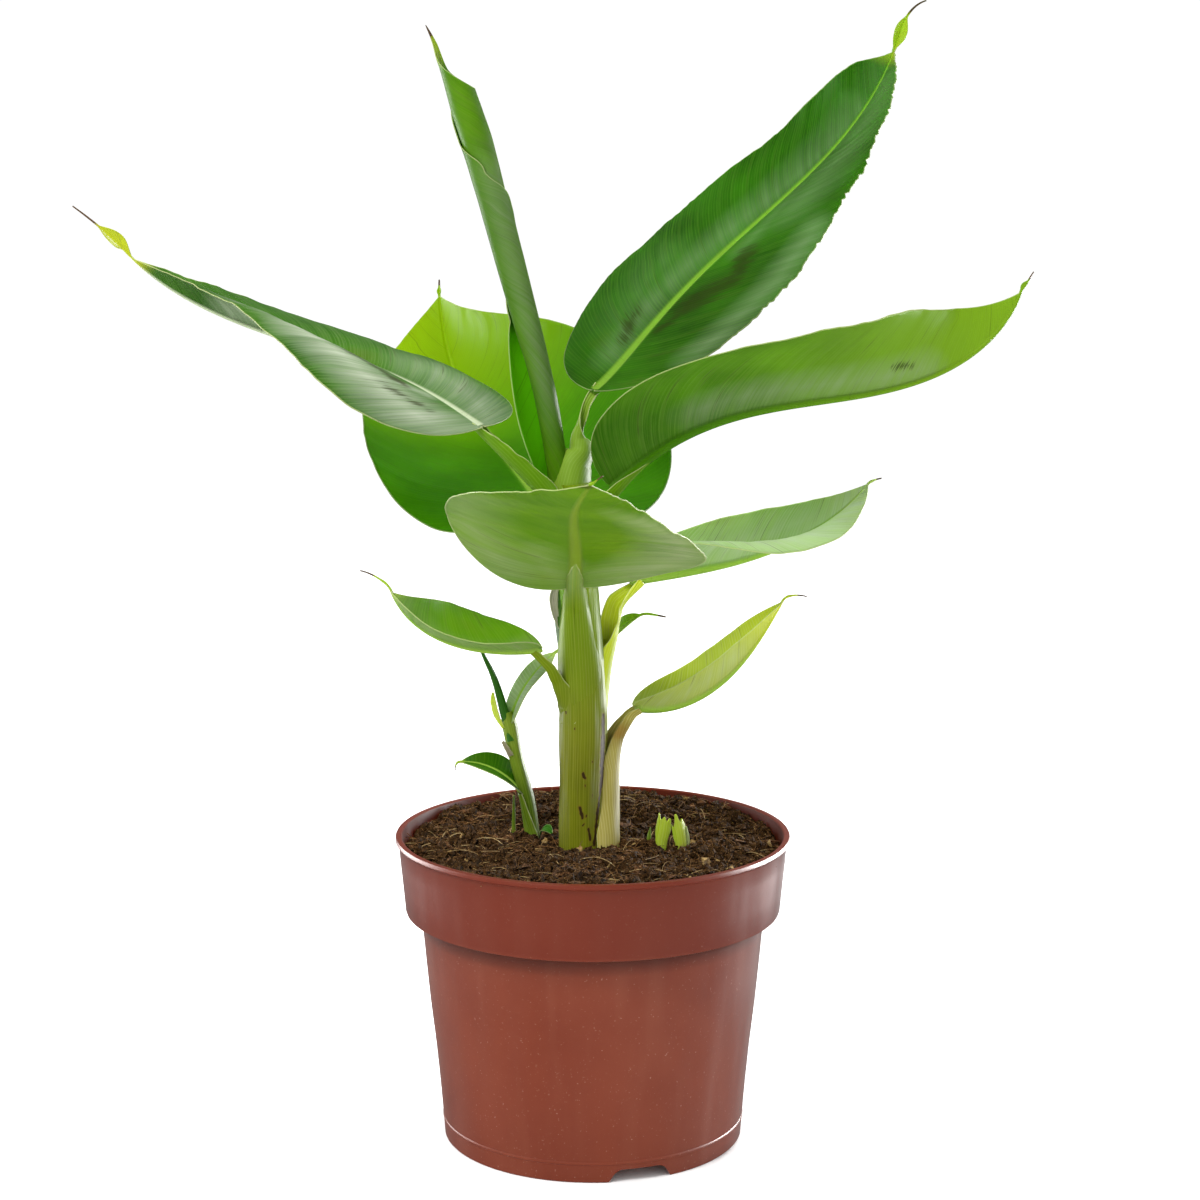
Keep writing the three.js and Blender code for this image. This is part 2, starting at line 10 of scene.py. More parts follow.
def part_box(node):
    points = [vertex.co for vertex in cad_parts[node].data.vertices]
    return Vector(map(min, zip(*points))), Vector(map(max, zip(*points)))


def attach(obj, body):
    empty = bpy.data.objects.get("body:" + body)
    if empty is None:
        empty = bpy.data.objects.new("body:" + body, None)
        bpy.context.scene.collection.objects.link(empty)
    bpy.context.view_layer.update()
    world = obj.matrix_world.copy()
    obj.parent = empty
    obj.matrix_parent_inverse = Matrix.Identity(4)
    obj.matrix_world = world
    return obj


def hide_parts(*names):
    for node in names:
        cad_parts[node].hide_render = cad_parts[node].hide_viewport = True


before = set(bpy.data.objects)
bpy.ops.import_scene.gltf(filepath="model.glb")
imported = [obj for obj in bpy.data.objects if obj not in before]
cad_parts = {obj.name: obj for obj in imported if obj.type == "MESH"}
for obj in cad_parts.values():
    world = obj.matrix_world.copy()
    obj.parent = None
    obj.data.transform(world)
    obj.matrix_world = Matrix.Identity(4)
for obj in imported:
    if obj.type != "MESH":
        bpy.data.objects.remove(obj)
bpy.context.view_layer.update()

# ---------------------------------------------------------------- nursery pot
# Thin-walled pot with a wide band under its lip, injection-moulded in red-brown polypropylene.
# Turned ring by ring from the foot pad, over the lip and down the inside; the skirt has three water
# notches and the raised floor has drain holes.
MM = 0.001
POT_RINGS_MM = [
    (14.0, 0.0), (14.0, 10.5), (78.2, 10.5), (77.8, 0.6), (78.2, 0.0), (79.6, 0.0), (80.1, 0.5),
    (80.8, 9.6), (81.15, 10.1), (81.15, 10.9), (80.9, 11.4),
    (82.4, 30.0), (84.3, 50.0), (87.2, 75.0), (89.3, 97.0), (91.3, 119.0), (91.7, 121.0),
    (92.6, 122.2), (94.5, 122.9), (98.2, 123.6), (99.6, 124.2), (99.95, 125.3),
    (101.1, 138.0), (102.4, 151.0), (103.2, 160.8), (103.6, 161.8), (104.5, 162.2), (105.0, 162.8),
    (105.0, 164.0), (104.6, 164.8), (103.9, 165.0), (102.2, 165.0), (101.5, 164.5),
    (100.9, 158.0), (97.9, 126.5), (96.8, 124.8), (90.3, 123.4), (89.5, 121.0), (84.6, 75.0),
    (79.2, 13.6), (78.0, 12.5), (12.0, 12.5),
]
POT_SEGMENTS = 192
NOTCH_AZIMUTHS = (-72, 48, 168)
NOTCH_MM = {"foot": 32.5, "top": 25.0, "height": 7.0}
SKIRT_AT = 80 * MM          # the skirt's distance from the axis
NOTCH_CUT = 14 * MM         # as far as a notch's cutter reaches through the skirt
NOTCH_CORNER = 3 * MM
DRAINS = 8
DRAIN_RADIUS = 5 * MM
DRAIN_CIRCLE = 52 * MM
FLOOR_LEVEL = 11.5 * MM
COLLAR_FOOT = 122 * MM
SHADOW_DEPTH = 9 * MM       # of the shade under the collar


def linear(hex_colour):
    """An sRGB hex colour as linear RGBA."""
    channels = [int(hex_colour[i:i + 2], 16) / 255 for i in (1, 3, 5)]
    return [c / 12.92 if c <= 0.04045 else ((c + 0.055) / 1.055) ** 2.4 for c in channels] + [1.0]


def node(tree, kind, inputs=None, **settings):
    """Adds a shader node: settings are its properties, inputs its sockets' values or links."""
    made = tree.nodes.new("ShaderNode" + kind)
    for setting, value in settings.items():
        setattr(made, setting, value)
    for socket, value in (inputs or {}).items():
        if isinstance(value, bpy.types.NodeSocket):
            tree.links.new(value, made.inputs[socket])
        else:
            made.inputs[socket].default_value = value
    return made


def new_material(name):
    """An empty material, its node tree and its output node."""
    material = bpy.data.materials.new(name)
    material.use_nodes = True
    material.node_tree.nodes.clear()
    return material, material.node_tree, node(material.node_tree, "OutputMaterial")


def coated(tree, ground, coats):
    """A ground colour under coats of others: each coat shows where its pattern, taken from low..high
    to least..most, says so. A coat is a hex colour or a colour socket."""
    colour = linear(ground)
    for pattern, low, high, least, most, coat in coats:
        share = node(tree, "MapRange", {0: pattern, 1: low, 2: high, 3: least, 4: most}).outputs[0]
        coat = linear(coat) if isinstance(coat, str) else coat
        colour = node(tree, "Mix", {0: share, 6: colour, 7: coat}, data_type="RGBA").outputs[2]
    return colour


def finished(piece, slot, *finishes):
    """Gives a piece its materials and its place on the one body; slot is not used."""
    for finish in finishes:
        piece.data.materials.append(finish)
    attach(piece, "root")


def start_clean():
    """Leaves nothing selected, so that the next operator acts on its own piece only."""
    if bpy.context.object and bpy.context.object.mode != "OBJECT":
        bpy.ops.object.mode_set(mode="OBJECT")
    bpy.ops.object.select_all(action="DESELECT")


def apply_modifier(piece, kind, **settings):
    """Adds a modifier with its settings to a piece and applies it."""
    modifier = piece.modifiers.new(kind.lower(), kind)
    for setting, value in settings.items():
        setattr(modifier, setting, value)
    start_clean()
    piece.select_set(True)
    bpy.context.view_layer.objects.active = piece
    bpy.ops.object.modifier_apply(modifier=modifier.name)


def cut(piece, cutter):
    """Cuts a cutter out of a piece, and removes the cutter."""
    apply_modifier(piece, "BOOLEAN", operation="DIFFERENCE", object=cutter, solver="EXACT")
    bpy.data.objects.remove(cutter)


def notch_cutter(azimuth):
    """A block narrower at its top, with rounded upper corners, across the skirt."""
    foot, top, height = (NOTCH_MM[key] * MM for key in ("foot", "top", "height"))
    start_clean()
    bpy.ops.mesh.primitive_cube_add(size=1)
    block = bpy.context.object
    for vertex in block.data.vertices:
        upper = vertex.co.z > 0
        vertex.co = Vector((math.copysign(top if upper else foot + 0.004, vertex.co.x) / 2,
                            -SKIRT_AT + vertex.co.y * NOTCH_CUT, height if upper else -2 * MM))
    bpy.ops.object.mode_set(mode="EDIT")
    bpy.ops.mesh.select_all(action="DESELECT")
    bpy.ops.object.mode_set(mode="OBJECT")
    for edge in block.data.edges:
        ends = [block.data.vertices[i].co for i in edge.vertices]
        edge.select = all(end.z > 0 for end in ends) and abs(ends[0].x - ends[1].x) < MM
    bpy.ops.object.mode_set(mode="EDIT")
    bpy.ops.mesh.bevel(offset=NOTCH_CORNER, segments=6)
    bpy.ops.object.mode_set(mode="OBJECT")
    block.data.transform(Matrix.Rotation(math.radians(azimuth + 90), 4, "Z"))
    return block


def turned_pot():
    """The pot's shell, drawn out ring by ring."""
    start_clean()
    radius, height = POT_RINGS_MM[0]
    bpy.ops.mesh.primitive_circle_add(vertices=POT_SEGMENTS, radius=radius * MM, fill_type="NGON")
    pot = bpy.context.object
    bpy.ops.object.mode_set(mode="EDIT")
    for next_radius, next_height in POT_RINGS_MM[1:]:
        rise = (0, 0, (next_height - height) * MM)
        bpy.ops.mesh.extrude_region_move(TRANSFORM_OT_translate={"value": rise})
        share = next_radius / radius
        bpy.ops.transform.resize(value=(share, share, 1), center_override=(0, 0, next_height * MM))
        radius, height = next_radius, next_height
    bpy.ops.mesh.select_all(action="SELECT")
    bpy.ops.mesh.normals_make_consistent(inside=False)
    bpy.ops.object.mode_set(mode="OBJECT")
    return pot


pot = turned_pot()
pot.name = "nursery_pot"
for azimuth in NOTCH_AZIMUTHS:
    cut(pot, notch_cutter(azimuth))
for i in range(DRAINS):
    angle = 2 * math.pi * i / DRAINS
    start_clean()
    bpy.ops.mesh.primitive_cylinder_add(vertices=32, radius=DRAIN_RADIUS, depth=10 * MM, location=(0, 0, 0))
    bpy.context.object.data.transform(Matrix.Translation(
        (DRAIN_CIRCLE * math.cos(angle), DRAIN_CIRCLE * math.sin(angle), FLOOR_LEVEL)))
    cut(pot, bpy.context.object)
start_clean()
pot.select_set(True)
bpy.context.view_layer.objects.active = pot
bpy.ops.object.shade_smooth_by_angle(angle=math.radians(28))


def polypropylene():
    """Moulded polypropylene: satin, a shade uneven, with pale dust and a few scuffs on it, and painted
    shade on its collar and on the wall just under it.
    """
    material, tree, output = new_material("moulded red-brown polypropylene")
    place = node(tree, "TexCoord").outputs["Object"]
    cloud = node(tree, "TexNoise", {"Vector": place, "Scale": 14, "Detail": 4, "Roughness": 0.55})
    streaks = node(tree, "Mapping", {"Vector": place, "Scale": (60, 60, 6)})
    flow = node(tree, "TexNoise", {"Vector": streaks.outputs[0], "Scale": 1.0, "Detail": 3})
    dust = node(tree, "TexNoise", {"Vector": place, "Scale": 700, "Detail": 2, "Roughness": 0.6})
    up = node(tree, "SeparateXYZ", {0: place}).outputs[2]
    shadow = node(tree, "MapRange", {0: up, 1: COLLAR_FOOT - SHADOW_DEPTH, 2: COLLAR_FOOT, 3: 0, 4: 0.75})
    under = node(tree, "Math", {0: up, 1: COLLAR_FOOT}, operation="LESS_THAN")
    painted_collar_shadow = node(tree, "Math", {0: shadow.outputs[0], 1: under.outputs[0]}, operation="MULTIPLY")
    # painted shade: the collar is painted darker, and the wall just under it darker still as its painted
    # shadow
    colour = coated(tree, "#6e2d19", [
        (cloud.outputs["Fac"], 0.35, 0.7, 0, 1, "#783621"),
        (flow.outputs["Fac"], 0.5, 0.8, 0, 0.35, "#82452f"),
        (dust.outputs["Fac"], 0.66, 0.78, 0, 0.4, "#b98f7f"),
        (up, COLLAR_FOOT, COLLAR_FOOT + 4 * MM, 0, 0.6, "#5e1602"),
        (painted_collar_shadow.outputs[0], 0, 1, 0, 1, "#30100a"),
    ])
    rough = node(tree, "MapRange", {0: flow.outputs["Fac"], 1: 0.3, 2: 0.8, 3: 0.34, 4: 0.46}).outputs[0]
    bump = node(tree, "Bump", {"Strength": 0.12, "Distance": 0.2 * MM, "Height": dust.outputs["Fac"]})
    shader = node(tree, "BsdfPrincipled", {"Base Color": colour, "Roughness": rough, "IOR": 1.49,
                                           "Specular IOR Level": 0.32, "Normal": bump.outputs["Normal"]})
    tree.links.new(shader.outputs[0], output.inputs["Surface"])
    return material


pot.data.materials.clear()
finished(pot, "pot", polypropylene())
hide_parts("pot")

# ---------------------------------------------------------------- potting soil
# Dark peat and composted bark, loosely filled to just under the lip and sunk a little at the wall.
# The ground is one lumpy slab; crumbs, bark chips, pale lumps and straw fibres lie on it.
SOIL_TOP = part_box("soil")[1][2]
SOIL_RADIUS = 100.2 * MM
SOIL_DEPTH = 20 * MM
SOIL_CELLS = 200
LEVEL_RADIUS = 62 * MM
EDGE_DROP = 0.5 * MM
BACK_RISE = 5.5 * MM        # heaped from 10 mm behind the middle over the next 70 mm
BACK_FROM = 10 * MM
BACK_REACH = 70 * MM
# lumps of the surface: how high they are in mm, and their noise's scale
LUMPS = ((3.4, 40), (2.6, 120), (1.6, 330))
WALL_GAP = 3 * MM           # crumbs and fibres keep so far from the soil's rim
SHOWN = 0.3                 # a strewn thing's middle lies over the surface by this share of its height
HIGHEST_REST = 3 * MM
STRAW_HALF = 0.014          # half a fibre's width, as a share of its length
STRAW_BENDS = 7


def soil_height(x, y):
    """Height of the soil's surface: level in the middle, sunk at the wall, heaped at the back."""
    sunk = EDGE_DROP * max(0.0, math.hypot(x, y) - LEVEL_RADIUS) / (SOIL_RADIUS - LEVEL_RADIUS)
    heaped = BACK_RISE * min(max((y - BACK_FROM) / BACK_REACH, 0.0), 1.0)
    spot = Vector((x, y, 0))
    lumps = sum(height * noise.noise(spot * scale) for height, scale in LUMPS)
    return SOIL_TOP - sunk + heaped + (lumps - 0.8) * MM


def soil_slab():
    """The lumpy ground: a round grid, walled down to its foot."""
    start_clean()
    bpy.ops.mesh.primitive_grid_add(x_subdivisions=SOIL_CELLS, y_subdivisions=SOIL_CELLS, size=2)
    slab = bpy.context.object
    slab.name = "potting_soil"
    for vertex in slab.data.vertices:
        x, y = vertex.co.x, vertex.co.y
        # the square grid drawn in to a disc
        disc_x = x * math.sqrt(1 - y * y / 2) * SOIL_RADIUS
        disc_y = y * math.sqrt(1 - x * x / 2) * SOIL_RADIUS
        vertex.co = Vector((disc_x, disc_y, soil_height(disc_x, disc_y)))
    bpy.ops.object.mode_set(mode="EDIT")
    bpy.ops.mesh.select_all(action="SELECT")
    bpy.ops.mesh.extrude_region_move(TRANSFORM_OT_translate={"value": (0, 0, -SOIL_DEPTH)})
    bpy.ops.transform.resize(value=(0.96, 0.96, 0), center_override=(0, 0, SOIL_TOP - SOIL_DEPTH))
    bpy.ops.mesh.select_all(action="SELECT")
    bpy.ops.mesh.normals_make_consistent(inside=False)
    bpy.ops.object.mode_set(mode="OBJECT")
    bpy.ops.object.shade_smooth()
    return slab


def peat(name, colours, size):
    """Moist peat: matte, almost black in its hollows, flecked with dry brown grains."""
    dark, light, fleck = colours.split()
    material, tree, output = new_material(name)
    place = node(tree, "TexCoord").outputs["Object"]
    grain = node(tree, "TexNoise", {"Vector": place, "Scale": size, "Detail": 6, "Roughness": 0.7})
    flecks = node(tree, "TexNoise", {"Vector": place, "Scale": size * 2.3, "Detail": 3})
    colour = coated(tree, dark, [(grain.outputs["Fac"], 0.38, 0.66, 0, 1, light),
                                 (flecks.outputs["Fac"], 0.6, 0.72, 0, 1, fleck)])
    bump = node(tree, "Bump", {"Strength": 0.8, "Distance": 0.8 * MM, "Height": grain.outputs["Fac"]})
    shader = node(tree, "BsdfPrincipled", {"Base Color": colour, "Roughness": 0.9, "IOR": 1.35,
                                           "Specular IOR Level": 0.15, "Normal": bump.outputs["Normal"]})
    tree.links.new(shader.outputs[0], output.inputs["Surface"])
    return material


def strew(name, models, count, size_mm, flat, seed, lie):
    """Joins count turned and scaled copies of the models, strewn over the soil, into one piece."""
    chance = random.Random(seed)
    corners, faces = [], []
    for _ in range(count):
        radius = (SOIL_RADIUS - WALL_GAP) * math.sqrt(chance.random())
        angle = chance.uniform(0, 2 * math.pi)
        x, y = radius * math.cos(angle), radius * math.sin(angle)
        low, high = size_mm
        size = (low + (high - low) * chance.random() ** 2.5) * MM
        tilt = 0.3 if lie else (0.9 if models is FIBRES else 3)
        turn = (Matrix.Rotation(chance.uniform(-tilt, tilt), 4, "X")
                @ Matrix.Rotation(chance.uniform(-tilt, tilt) * 0.5, 4, "Y"))
        turn = turn @ Matrix.Rotation(chance.uniform(0, 2 * math.pi), 4, "Z")
        shape = Matrix.Diagonal((size, size * chance.uniform(0.6, 1), size * flat, 1))
        rest = min(size * flat * SHOWN, HIGHEST_REST)
        here = Matrix.Translation((x, y, soil_height(x, y) + rest))
        model = chance.choice(models)
        first = len(corners)
        corners += [here @ turn @ shape @ corner for corner in model[0]]
        faces += [[first + i for i in face] for face in model[1]]
    mesh = bpy.data.meshes.new(name)
    mesh.from_pydata(corners, [], faces)
    piece = bpy.data.objects.new(name, mesh)
    bpy.context.collection.objects.link(piece)
    return piece


def taken(piece):
    """The corners and faces of a small model, which is then removed."""
    model = ([v.co.copy() for v in piece.data.vertices], [list(p.vertices) for p in piece.data.polygons])
    bpy.data.objects.remove(piece)
    return model


def crumb(seed):
    """A broken crumb: an icosphere dented by noise, one unit across."""
    start_clean()
    bpy.ops.mesh.primitive_ico_sphere_add(subdivisions=1, radius=0.55)
    shape = bpy.context.object
    for vertex in shape.data.vertices:
        vertex.co *= 1 + 1.2 * noise.noise(vertex.co * 2.6 + Vector((seed, 0, 0)))
    return taken(shape)


def fibre(seed):
    """A bent straw, one unit long and three-sided."""
    chance = random.Random(seed)
    start_clean()
    bpy.ops.mesh.primitive_cylinder_add(vertices=3, radius=STRAW_HALF, depth=1)
    straw = bpy.context.object
    bpy.ops.object.mode_set(mode="EDIT")
    bpy.ops.mesh.select_mode(type="EDGE")
    bpy.ops.mesh.select_all(action="DESELECT")
    bpy.ops.object.mode_set(mode="OBJECT")
    for edge in straw.data.edges:
        ends = [straw.data.vertices[i].co.z for i in edge.vertices]
        edge.select = abs(ends[0] - ends[1]) > 0.5
    bpy.ops.object.mode_set(mode="EDIT")
    bpy.ops.mesh.subdivide(number_cuts=STRAW_BENDS)
    bpy.ops.mesh.select_mode(type="VERT")
    bpy.ops.object.mode_set(mode="OBJECT")
    sway, lift = chance.uniform(-0.25, 0.25), chance.uniform(-0.02, 0.16)
    for vertex in straw.data.vertices:
        along = vertex.co.z
        bow = 0.25 - along * along
        aside = vertex.co.y + sway * bow * 2 + 0.1 * along ** 3
        vertex.co = Vector((along, aside, vertex.co.x + lift * bow * 4))
    return taken(straw)


soil = soil_slab()
finished(soil, "soil", peat("moist peat", "#170d06 #452d16 #80603c", 420))
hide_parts("soil")
FIBRE_SUNK = -2.0 * MM
CRUMBS = [crumb(seed) for seed in range(8)]
FIBRES = [fibre(seed) for seed in range(12)]
STREWN = {
    # name: models, how many, sizes in mm, flatness, lies flat, material, its colours, its grain's scale
    "soil_crumbs": (CRUMBS, 8000, (0.8, 4.8), 0.8, False, "peat crumbs", "#160c04 #4e3418 #94704a", 700),
    "bark_chips": (CRUMBS, 500, (2, 8), 0.35, True, "composted bark", "#2a180a #664428 #a8845c", 500),
    "pale_lumps": (CRUMBS, 90, (1.2, 5), 0.8, False, "dry clay lumps", "#7f6540 #b08f58 #d8bf90", 450),
    "brown_fibres": (FIBRES, 3000, (2.5, 15), 1.0, False, "brown fibres", "#4a3018 #8c653c #c8a474", 500),
    "straw_fibres": (FIBRES, 520, (4, 20), 0.9, True, "straw fibres", "#7a603c #b89c6c #e6d8ac", 400),
}
for number, (name, row) in enumerate(STREWN.items()):
    models, count, sizes, flat, lie, *finish = row
    strewn = strew(name, models, count, sizes, flat, 100 + number, lie)
    if models is FIBRES:
        strewn.data.transform(Matrix.Translation((0, 0, FIBRE_SUNK)))
    finished(strewn, "soil", peat(*finish))

# ---------------------------------------------------------------- leaf blades
# Each banana leaf is one thin blade: fine parallel veins run from a stout midrib to a pale, slightly
# waved margin, and the blade is drawn out at its end into a twisted tip that dries first.
# Sizes are in mm above the soil. A triple gives the value at base, middle and tip, as the solids do.
STEM_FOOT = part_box("stem")[0][2]
PATH_STEPS = 480
BEND_REACH = 0.12
LOBE_REACH = 0.14
TAIL_HALF_WIDTH = 0.9
SPOON_END = 0.6             # share of the drawn-out tip that its spoon-shaped part takes
BLADE_MM = 0.5
RIB_COLUMNS = 5
CROWDING = 0.145            # of the rows towards both ends of the blade
TIP_DRIED = (0.5, 0.8)      # shares of the drawn-out tip between which it turns brown
SWEEP = 0.17                # how far veins run on towards the tip, as a share of the length
SWEEP_FROM = 28             # mm: the half width from which they sweep in full
GROOVE = 0.55               # mm: depth of the channel along the midrib
# the blade's long and short waves and its pleats: how long and how high, in mm
WAVE, RIPPLE, PLEAT = (26, 1.6), (9, 0.5), (4.5, 0.2)
WAVE_FROM = 25              # mm: the half width from which they show in full
TOOTH_LIFT, TOOTH_REACH = 2.6, 2.2      # mm: spacing of a ragged margin's teeth
LEAVES = {
    "upper_right": dict(
        base=(1, 5, 242.5), length=272, width=(69, 72), lobe=2, heading=(45, 32, 42), rise=(68, 36, 62),
        bend=-40, roll=(21, 22, 29), left=((-9, 3, 29), (-9, -29, 6)), right=((19, 25, 39), (3, -11, 4)),
        outline=(0.35, 0.56, 1.3), rib=(3.2, 2.6), rows=230, columns=40, yellow=(0.95, 1.0), ripple=1.3,
        crest="#86b038", lines=0.36, crown=(9, 3), ragged=(0.3, 1.6),
        tip=dict(length=34, heading=(20, 10, 0), rise=(72, 64, 15), turn=60, spoon=4)),
    "right": dict(
        base=(10.5, -19.5, 193), length=240, width=(61, 64), lobe=0, heading=(-12, 2, -2), rise=(74, 8, 72),
        bend=-29, roll=(-16, -17, -29), left=((50, 49, 58), (0, -15, 5)),
        right=((44, 41, 63), (-1, -37, 22)), outline=(0.4, 0.49, 2), rib=(3.6, 2.6), rows=210, columns=38,
        yellow=(0.15, 0.9), ripple=1.1, keel="#548010", crest="#4c8408", lines=0.14,
        tip=dict(length=12, heading=(0, 0, 0), rise=(40, 60, 58), turn=0, spoon=2)),
    "left": dict(
        base=(-58, -14, 226), length=211, width=(73, 71), lobe=3, heading=(147, 167, 186),
        rise=(43, 16, 45), bend=-17, roll=(-7, -1, -2), left=((-1, 40, 65), (0, -63, -43)),
        right=((0, 22, 43), (-7, -40, -8)), outline=(0.33, 0.41, 1.3), rib=(2.6, 2.6), rows=220, columns=40,
        yellow=(0.93, 1.0), ripple=1.5, crest="#b8c4a0",
        tip=dict(length=41, heading=(184, 180, 180), rise=(50, 42, 36), turn=60, spoon=5)),
    # the back leaf's yellow-green from 0.3 of its length on is painted light shining through it from behind
    "back": dict(
        base=(-27.5, 20.5, 182.5), length=256, width=(83, 90), lobe=8, heading=(95, 111, 102),
        rise=(19, 19, 61), bend=-25, roll=(-4, -12, -24), left=((-15, 10, 8), (-18, 28, -7)),
        right=((-15, 17, 34), (-17, 23, 16)), outline=(0.35, 0.43, 2), rib=(4.2, 3.2), rows=210, columns=40,
        yellow=(0.3, 0.95), ripple=1.4, lines=0.2,
        tip=dict(length=10, heading=(102, 92, 92), rise=(70, 80, 80), turn=0, spoon=1.5)),
    "front": dict(
        base=(-9.5, -28.5, 146.5), length=218, width=(65, 63), lobe=8, heading=(273, 270, 281),
        rise=(37, 17, 21), bend=-5, roll=(1, -7, -3), left=((4, -2, -2), (-12, -8, -1)),
        right=((1, 5, 1), (-19, -3, 1)), outline=(0.42, 0.51, 1.8), rib=(4.2, 1.8), rows=200, columns=38,
        yellow=(0.97, 1.0), ripple=1.2, sweep=0.26, keel="#607c08", crest="#7c942a", lines=0.14,
        tip=dict(length=8, heading=(290, 340, 340), rise=(25, 35, 35), turn=0, spoon=1.6)),
    "right_mid": dict(
        base=(21, 5.5, 142), length=140, width=(41, 49), lobe=6, heading=(27, 2, 10), rise=(4, 18, 51),
        bend=-1, roll=(-13, 1, 10), left=((36, 26, 8), (-6, -1, 2)), right=((64, 44, -10), (-57, -65, -4)),
        outline=(0.41, 0.55, 2.1), rib=(3.4, 2.8), rows=150, columns=30, yellow=(0.75, 1.0), ripple=0.8,
        tip=dict(length=8, heading=(5, 0, 0), rise=(35, 20, 10), turn=0, spoon=1.2)),
    "left_lower": dict(
        base=(-27, -20.5, 110), length=89, width=(20, 30), lobe=1, heading=(188, 183, 177),
        rise=(1, 17, 69), bend=-9, roll=(2, -3, -8), left=((37, 30, 46), (-2, -15, 0)),
        right=((35, 35, 52), (-3, -12, 4)), outline=(0.41, 0.57, 2.1), rib=(2.4, 2.0), rows=130, columns=26,
        yellow=(0.9, 1.0), ripple=0.6,
        tip=dict(length=20, heading=(180, 180, 180), rise=(45, 34, 12), turn=0, spoon=1)),
    "right_lower": dict(
        base=(23.5, 1.5, 74.5), length=102, width=(23, 24), lobe=3, heading=(7, 6, 9), rise=(-15, 41, 59),
        bend=3, roll=(4, -1, 8), left=((51, 42, 52), (4, -5, 5)), right=((44, 43, 46), (-1, -4, 1)),
        outline=(0.41, 0.52, 2), rib=(3.2, 2.6), rows=130, columns=26, yellow=(0.5, 1.0), ripple=0.6,
        tip=dict(length=14, heading=(5, 0, 0), rise=(35, 8, -15), turn=0, spoon=1)),
    "back_shoot": dict(
        base=(5, 20, 103), length=28, width=(7, 7), lobe=3, heading=(-2, -1, 1), rise=(53, 43, 18), bend=-6,
        roll=(17, 23, 30), left=((-16, 7, 29), (-17, -9, 8)), right=((16, 17, 21), (2, 0, 5)),
        outline=(0.4, 0.55, 2), rib=(1.4, 1.0), rows=70, columns=18, yellow=(0.9, 1.0), ripple=0.2,
        tip=dict(length=13, heading=(0, 0, 0), rise=(-2, -8, -12), turn=0, spoon=0.9)),
    "sucker_low": dict(
        base=(-38.5, 9, 26.5), length=38, width=(9, 10), lobe=2, heading=(183, 177, 172), rise=(56, 27, -6),
        bend=-5, roll=(-5, -12, -17), left=((12, 12, 9), (-3, -8, -5)), right=((33, 33, 32), (-2, 3, 4)),
        outline=(0.4, 0.56, 2), rib=(1.5, 1.1), rows=80, columns=20, yellow=(0.9, 1.0), ripple=0.25,
        tip=dict(length=6.5, heading=(172, 172, 172), rise=(-20, -65, -110), turn=0, spoon=0.9)),
    "sucker_right": dict(
        base=(-43.5, 7, 67.5), length=43, width=(8, 11), lobe=4, heading=(11, 9, 16), rise=(74, 55, 36),
        bend=-2, roll=(30, 28, 41), left=((21, 18, 29), (2, -19, 8)), right=((22, 23, 13), (-6, 2, -11)),
        outline=(0.41, 0.54, 2.1), rib=(1.6, 1.2), rows=80, columns=20, yellow=(0.8, 1.0), ripple=0.3,
        tip=dict(length=5, heading=(16, 16, 16), rise=(30, 25, 20), turn=0, spoon=0.9)),
}
# Maroon-brown bruises, stretched along the veins: where each starts and ends, as shares of the
# blade's length and of its half width (left is positive), and its half width in mm.
BRUISES = {
    "upper_right": [((0.35, -0.42), (0.41, -0.3), 5.5), ((0.25, -0.22), (0.325, -0.4), 7.5),
                    ((0.14, 0.18), (0.2, 0.27), 4.0, 0.65), ((0.17, -0.12), (0.22, -0.2), 3.0, 0.8)],
    "right": [((0.655, -0.26), (0.69, -0.24), 2.2, 0.65)],
    "left": [((0.3, 0.12), (0.6, 0.16), 5.0, 0.6), ((0.2, 0.25), (0.36, 0.32), 3.5, 0.8),
             ((0.1, 0.4), (0.2, 0.5), 3, 0.6)],
    "front": [((0.985, -0.6), (0.995, 0.6), 2.4)],
}

# Whitish patches on parts of the blades, partly wax bloom and partly painted sheen: given as the bruises,
# with their strength.
BLOOM_AND_SHEEN = {
    "upper_right": [((0.1, 0.22), (0.85, 0.08), 8, 0.55), ((0.2, 0.38), (0.34, 0.45), 14, 0.25),
                    ((0.55, -0.35), (0.92, -0.4), 12, 0.5), ((0.14, -0.85), (0.5, -0.85), 8, 0.75),
                    ((0.42, -0.2), (0.62, -0.12), 6, 0.4)],
    "right": [((0.24, -0.22), (0.72, -0.14), 8, 0.5)],
    "left": [((0.08, 0.62), (0.5, 0.5), 15, 0.95), ((0.45, 0.4), (0.68, 0.35), 13, 0.75),
             ((0.15, 0.12), (0.2, 0.3), 4, 0.7), ((0.0, -0.35), (0.22, -0.4), 16, 0.4)],
    "front": [((0.1, -0.8), (0.6, -0.9), 15, 0.45), ((0.1, 0.8), (0.7, 0.85), 15, 0.8),
              ((0.0, -0.35), (0.2, -0.4), 10, 0.35), ((0.0, 0.0), (0.12, 0.0), 5, 0.3)],
    "right_mid": [((0.05, -0.5), (0.95, -0.5), 22, 0.9), ((0.1, 0.4), (0.8, 0.4), 12, 0.5)],
    "left_lower": [((0.1, 0.5), (0.9, 0.5), 12, 0.75), ((0.0, -0.2), (0.12, 0.0), 6, 0.6)],
    "right_lower": [((0.1, -0.4), (0.6, -0.5), 10, 0.5)],
    "sucker_right": [((0.2, -0.3), (0.8, -0.3), 5, 0.4)],
}


def along(triple, t):
    """The value at share t of a triple (base, middle, tip), on the parabola through the three."""
    base, middle, tip = triple
    return base * (1 - t) * (1 - 2 * t) + middle * 4 * t * (1 - t) + tip * t * (2 * t - 1)


def eased(value, low, high):
    """0 below low, 1 above high, smooth between."""
    share = min(max((value - low) / (high - low), 0.0), 1.0)
    return share * share * (3 - 2 * share)


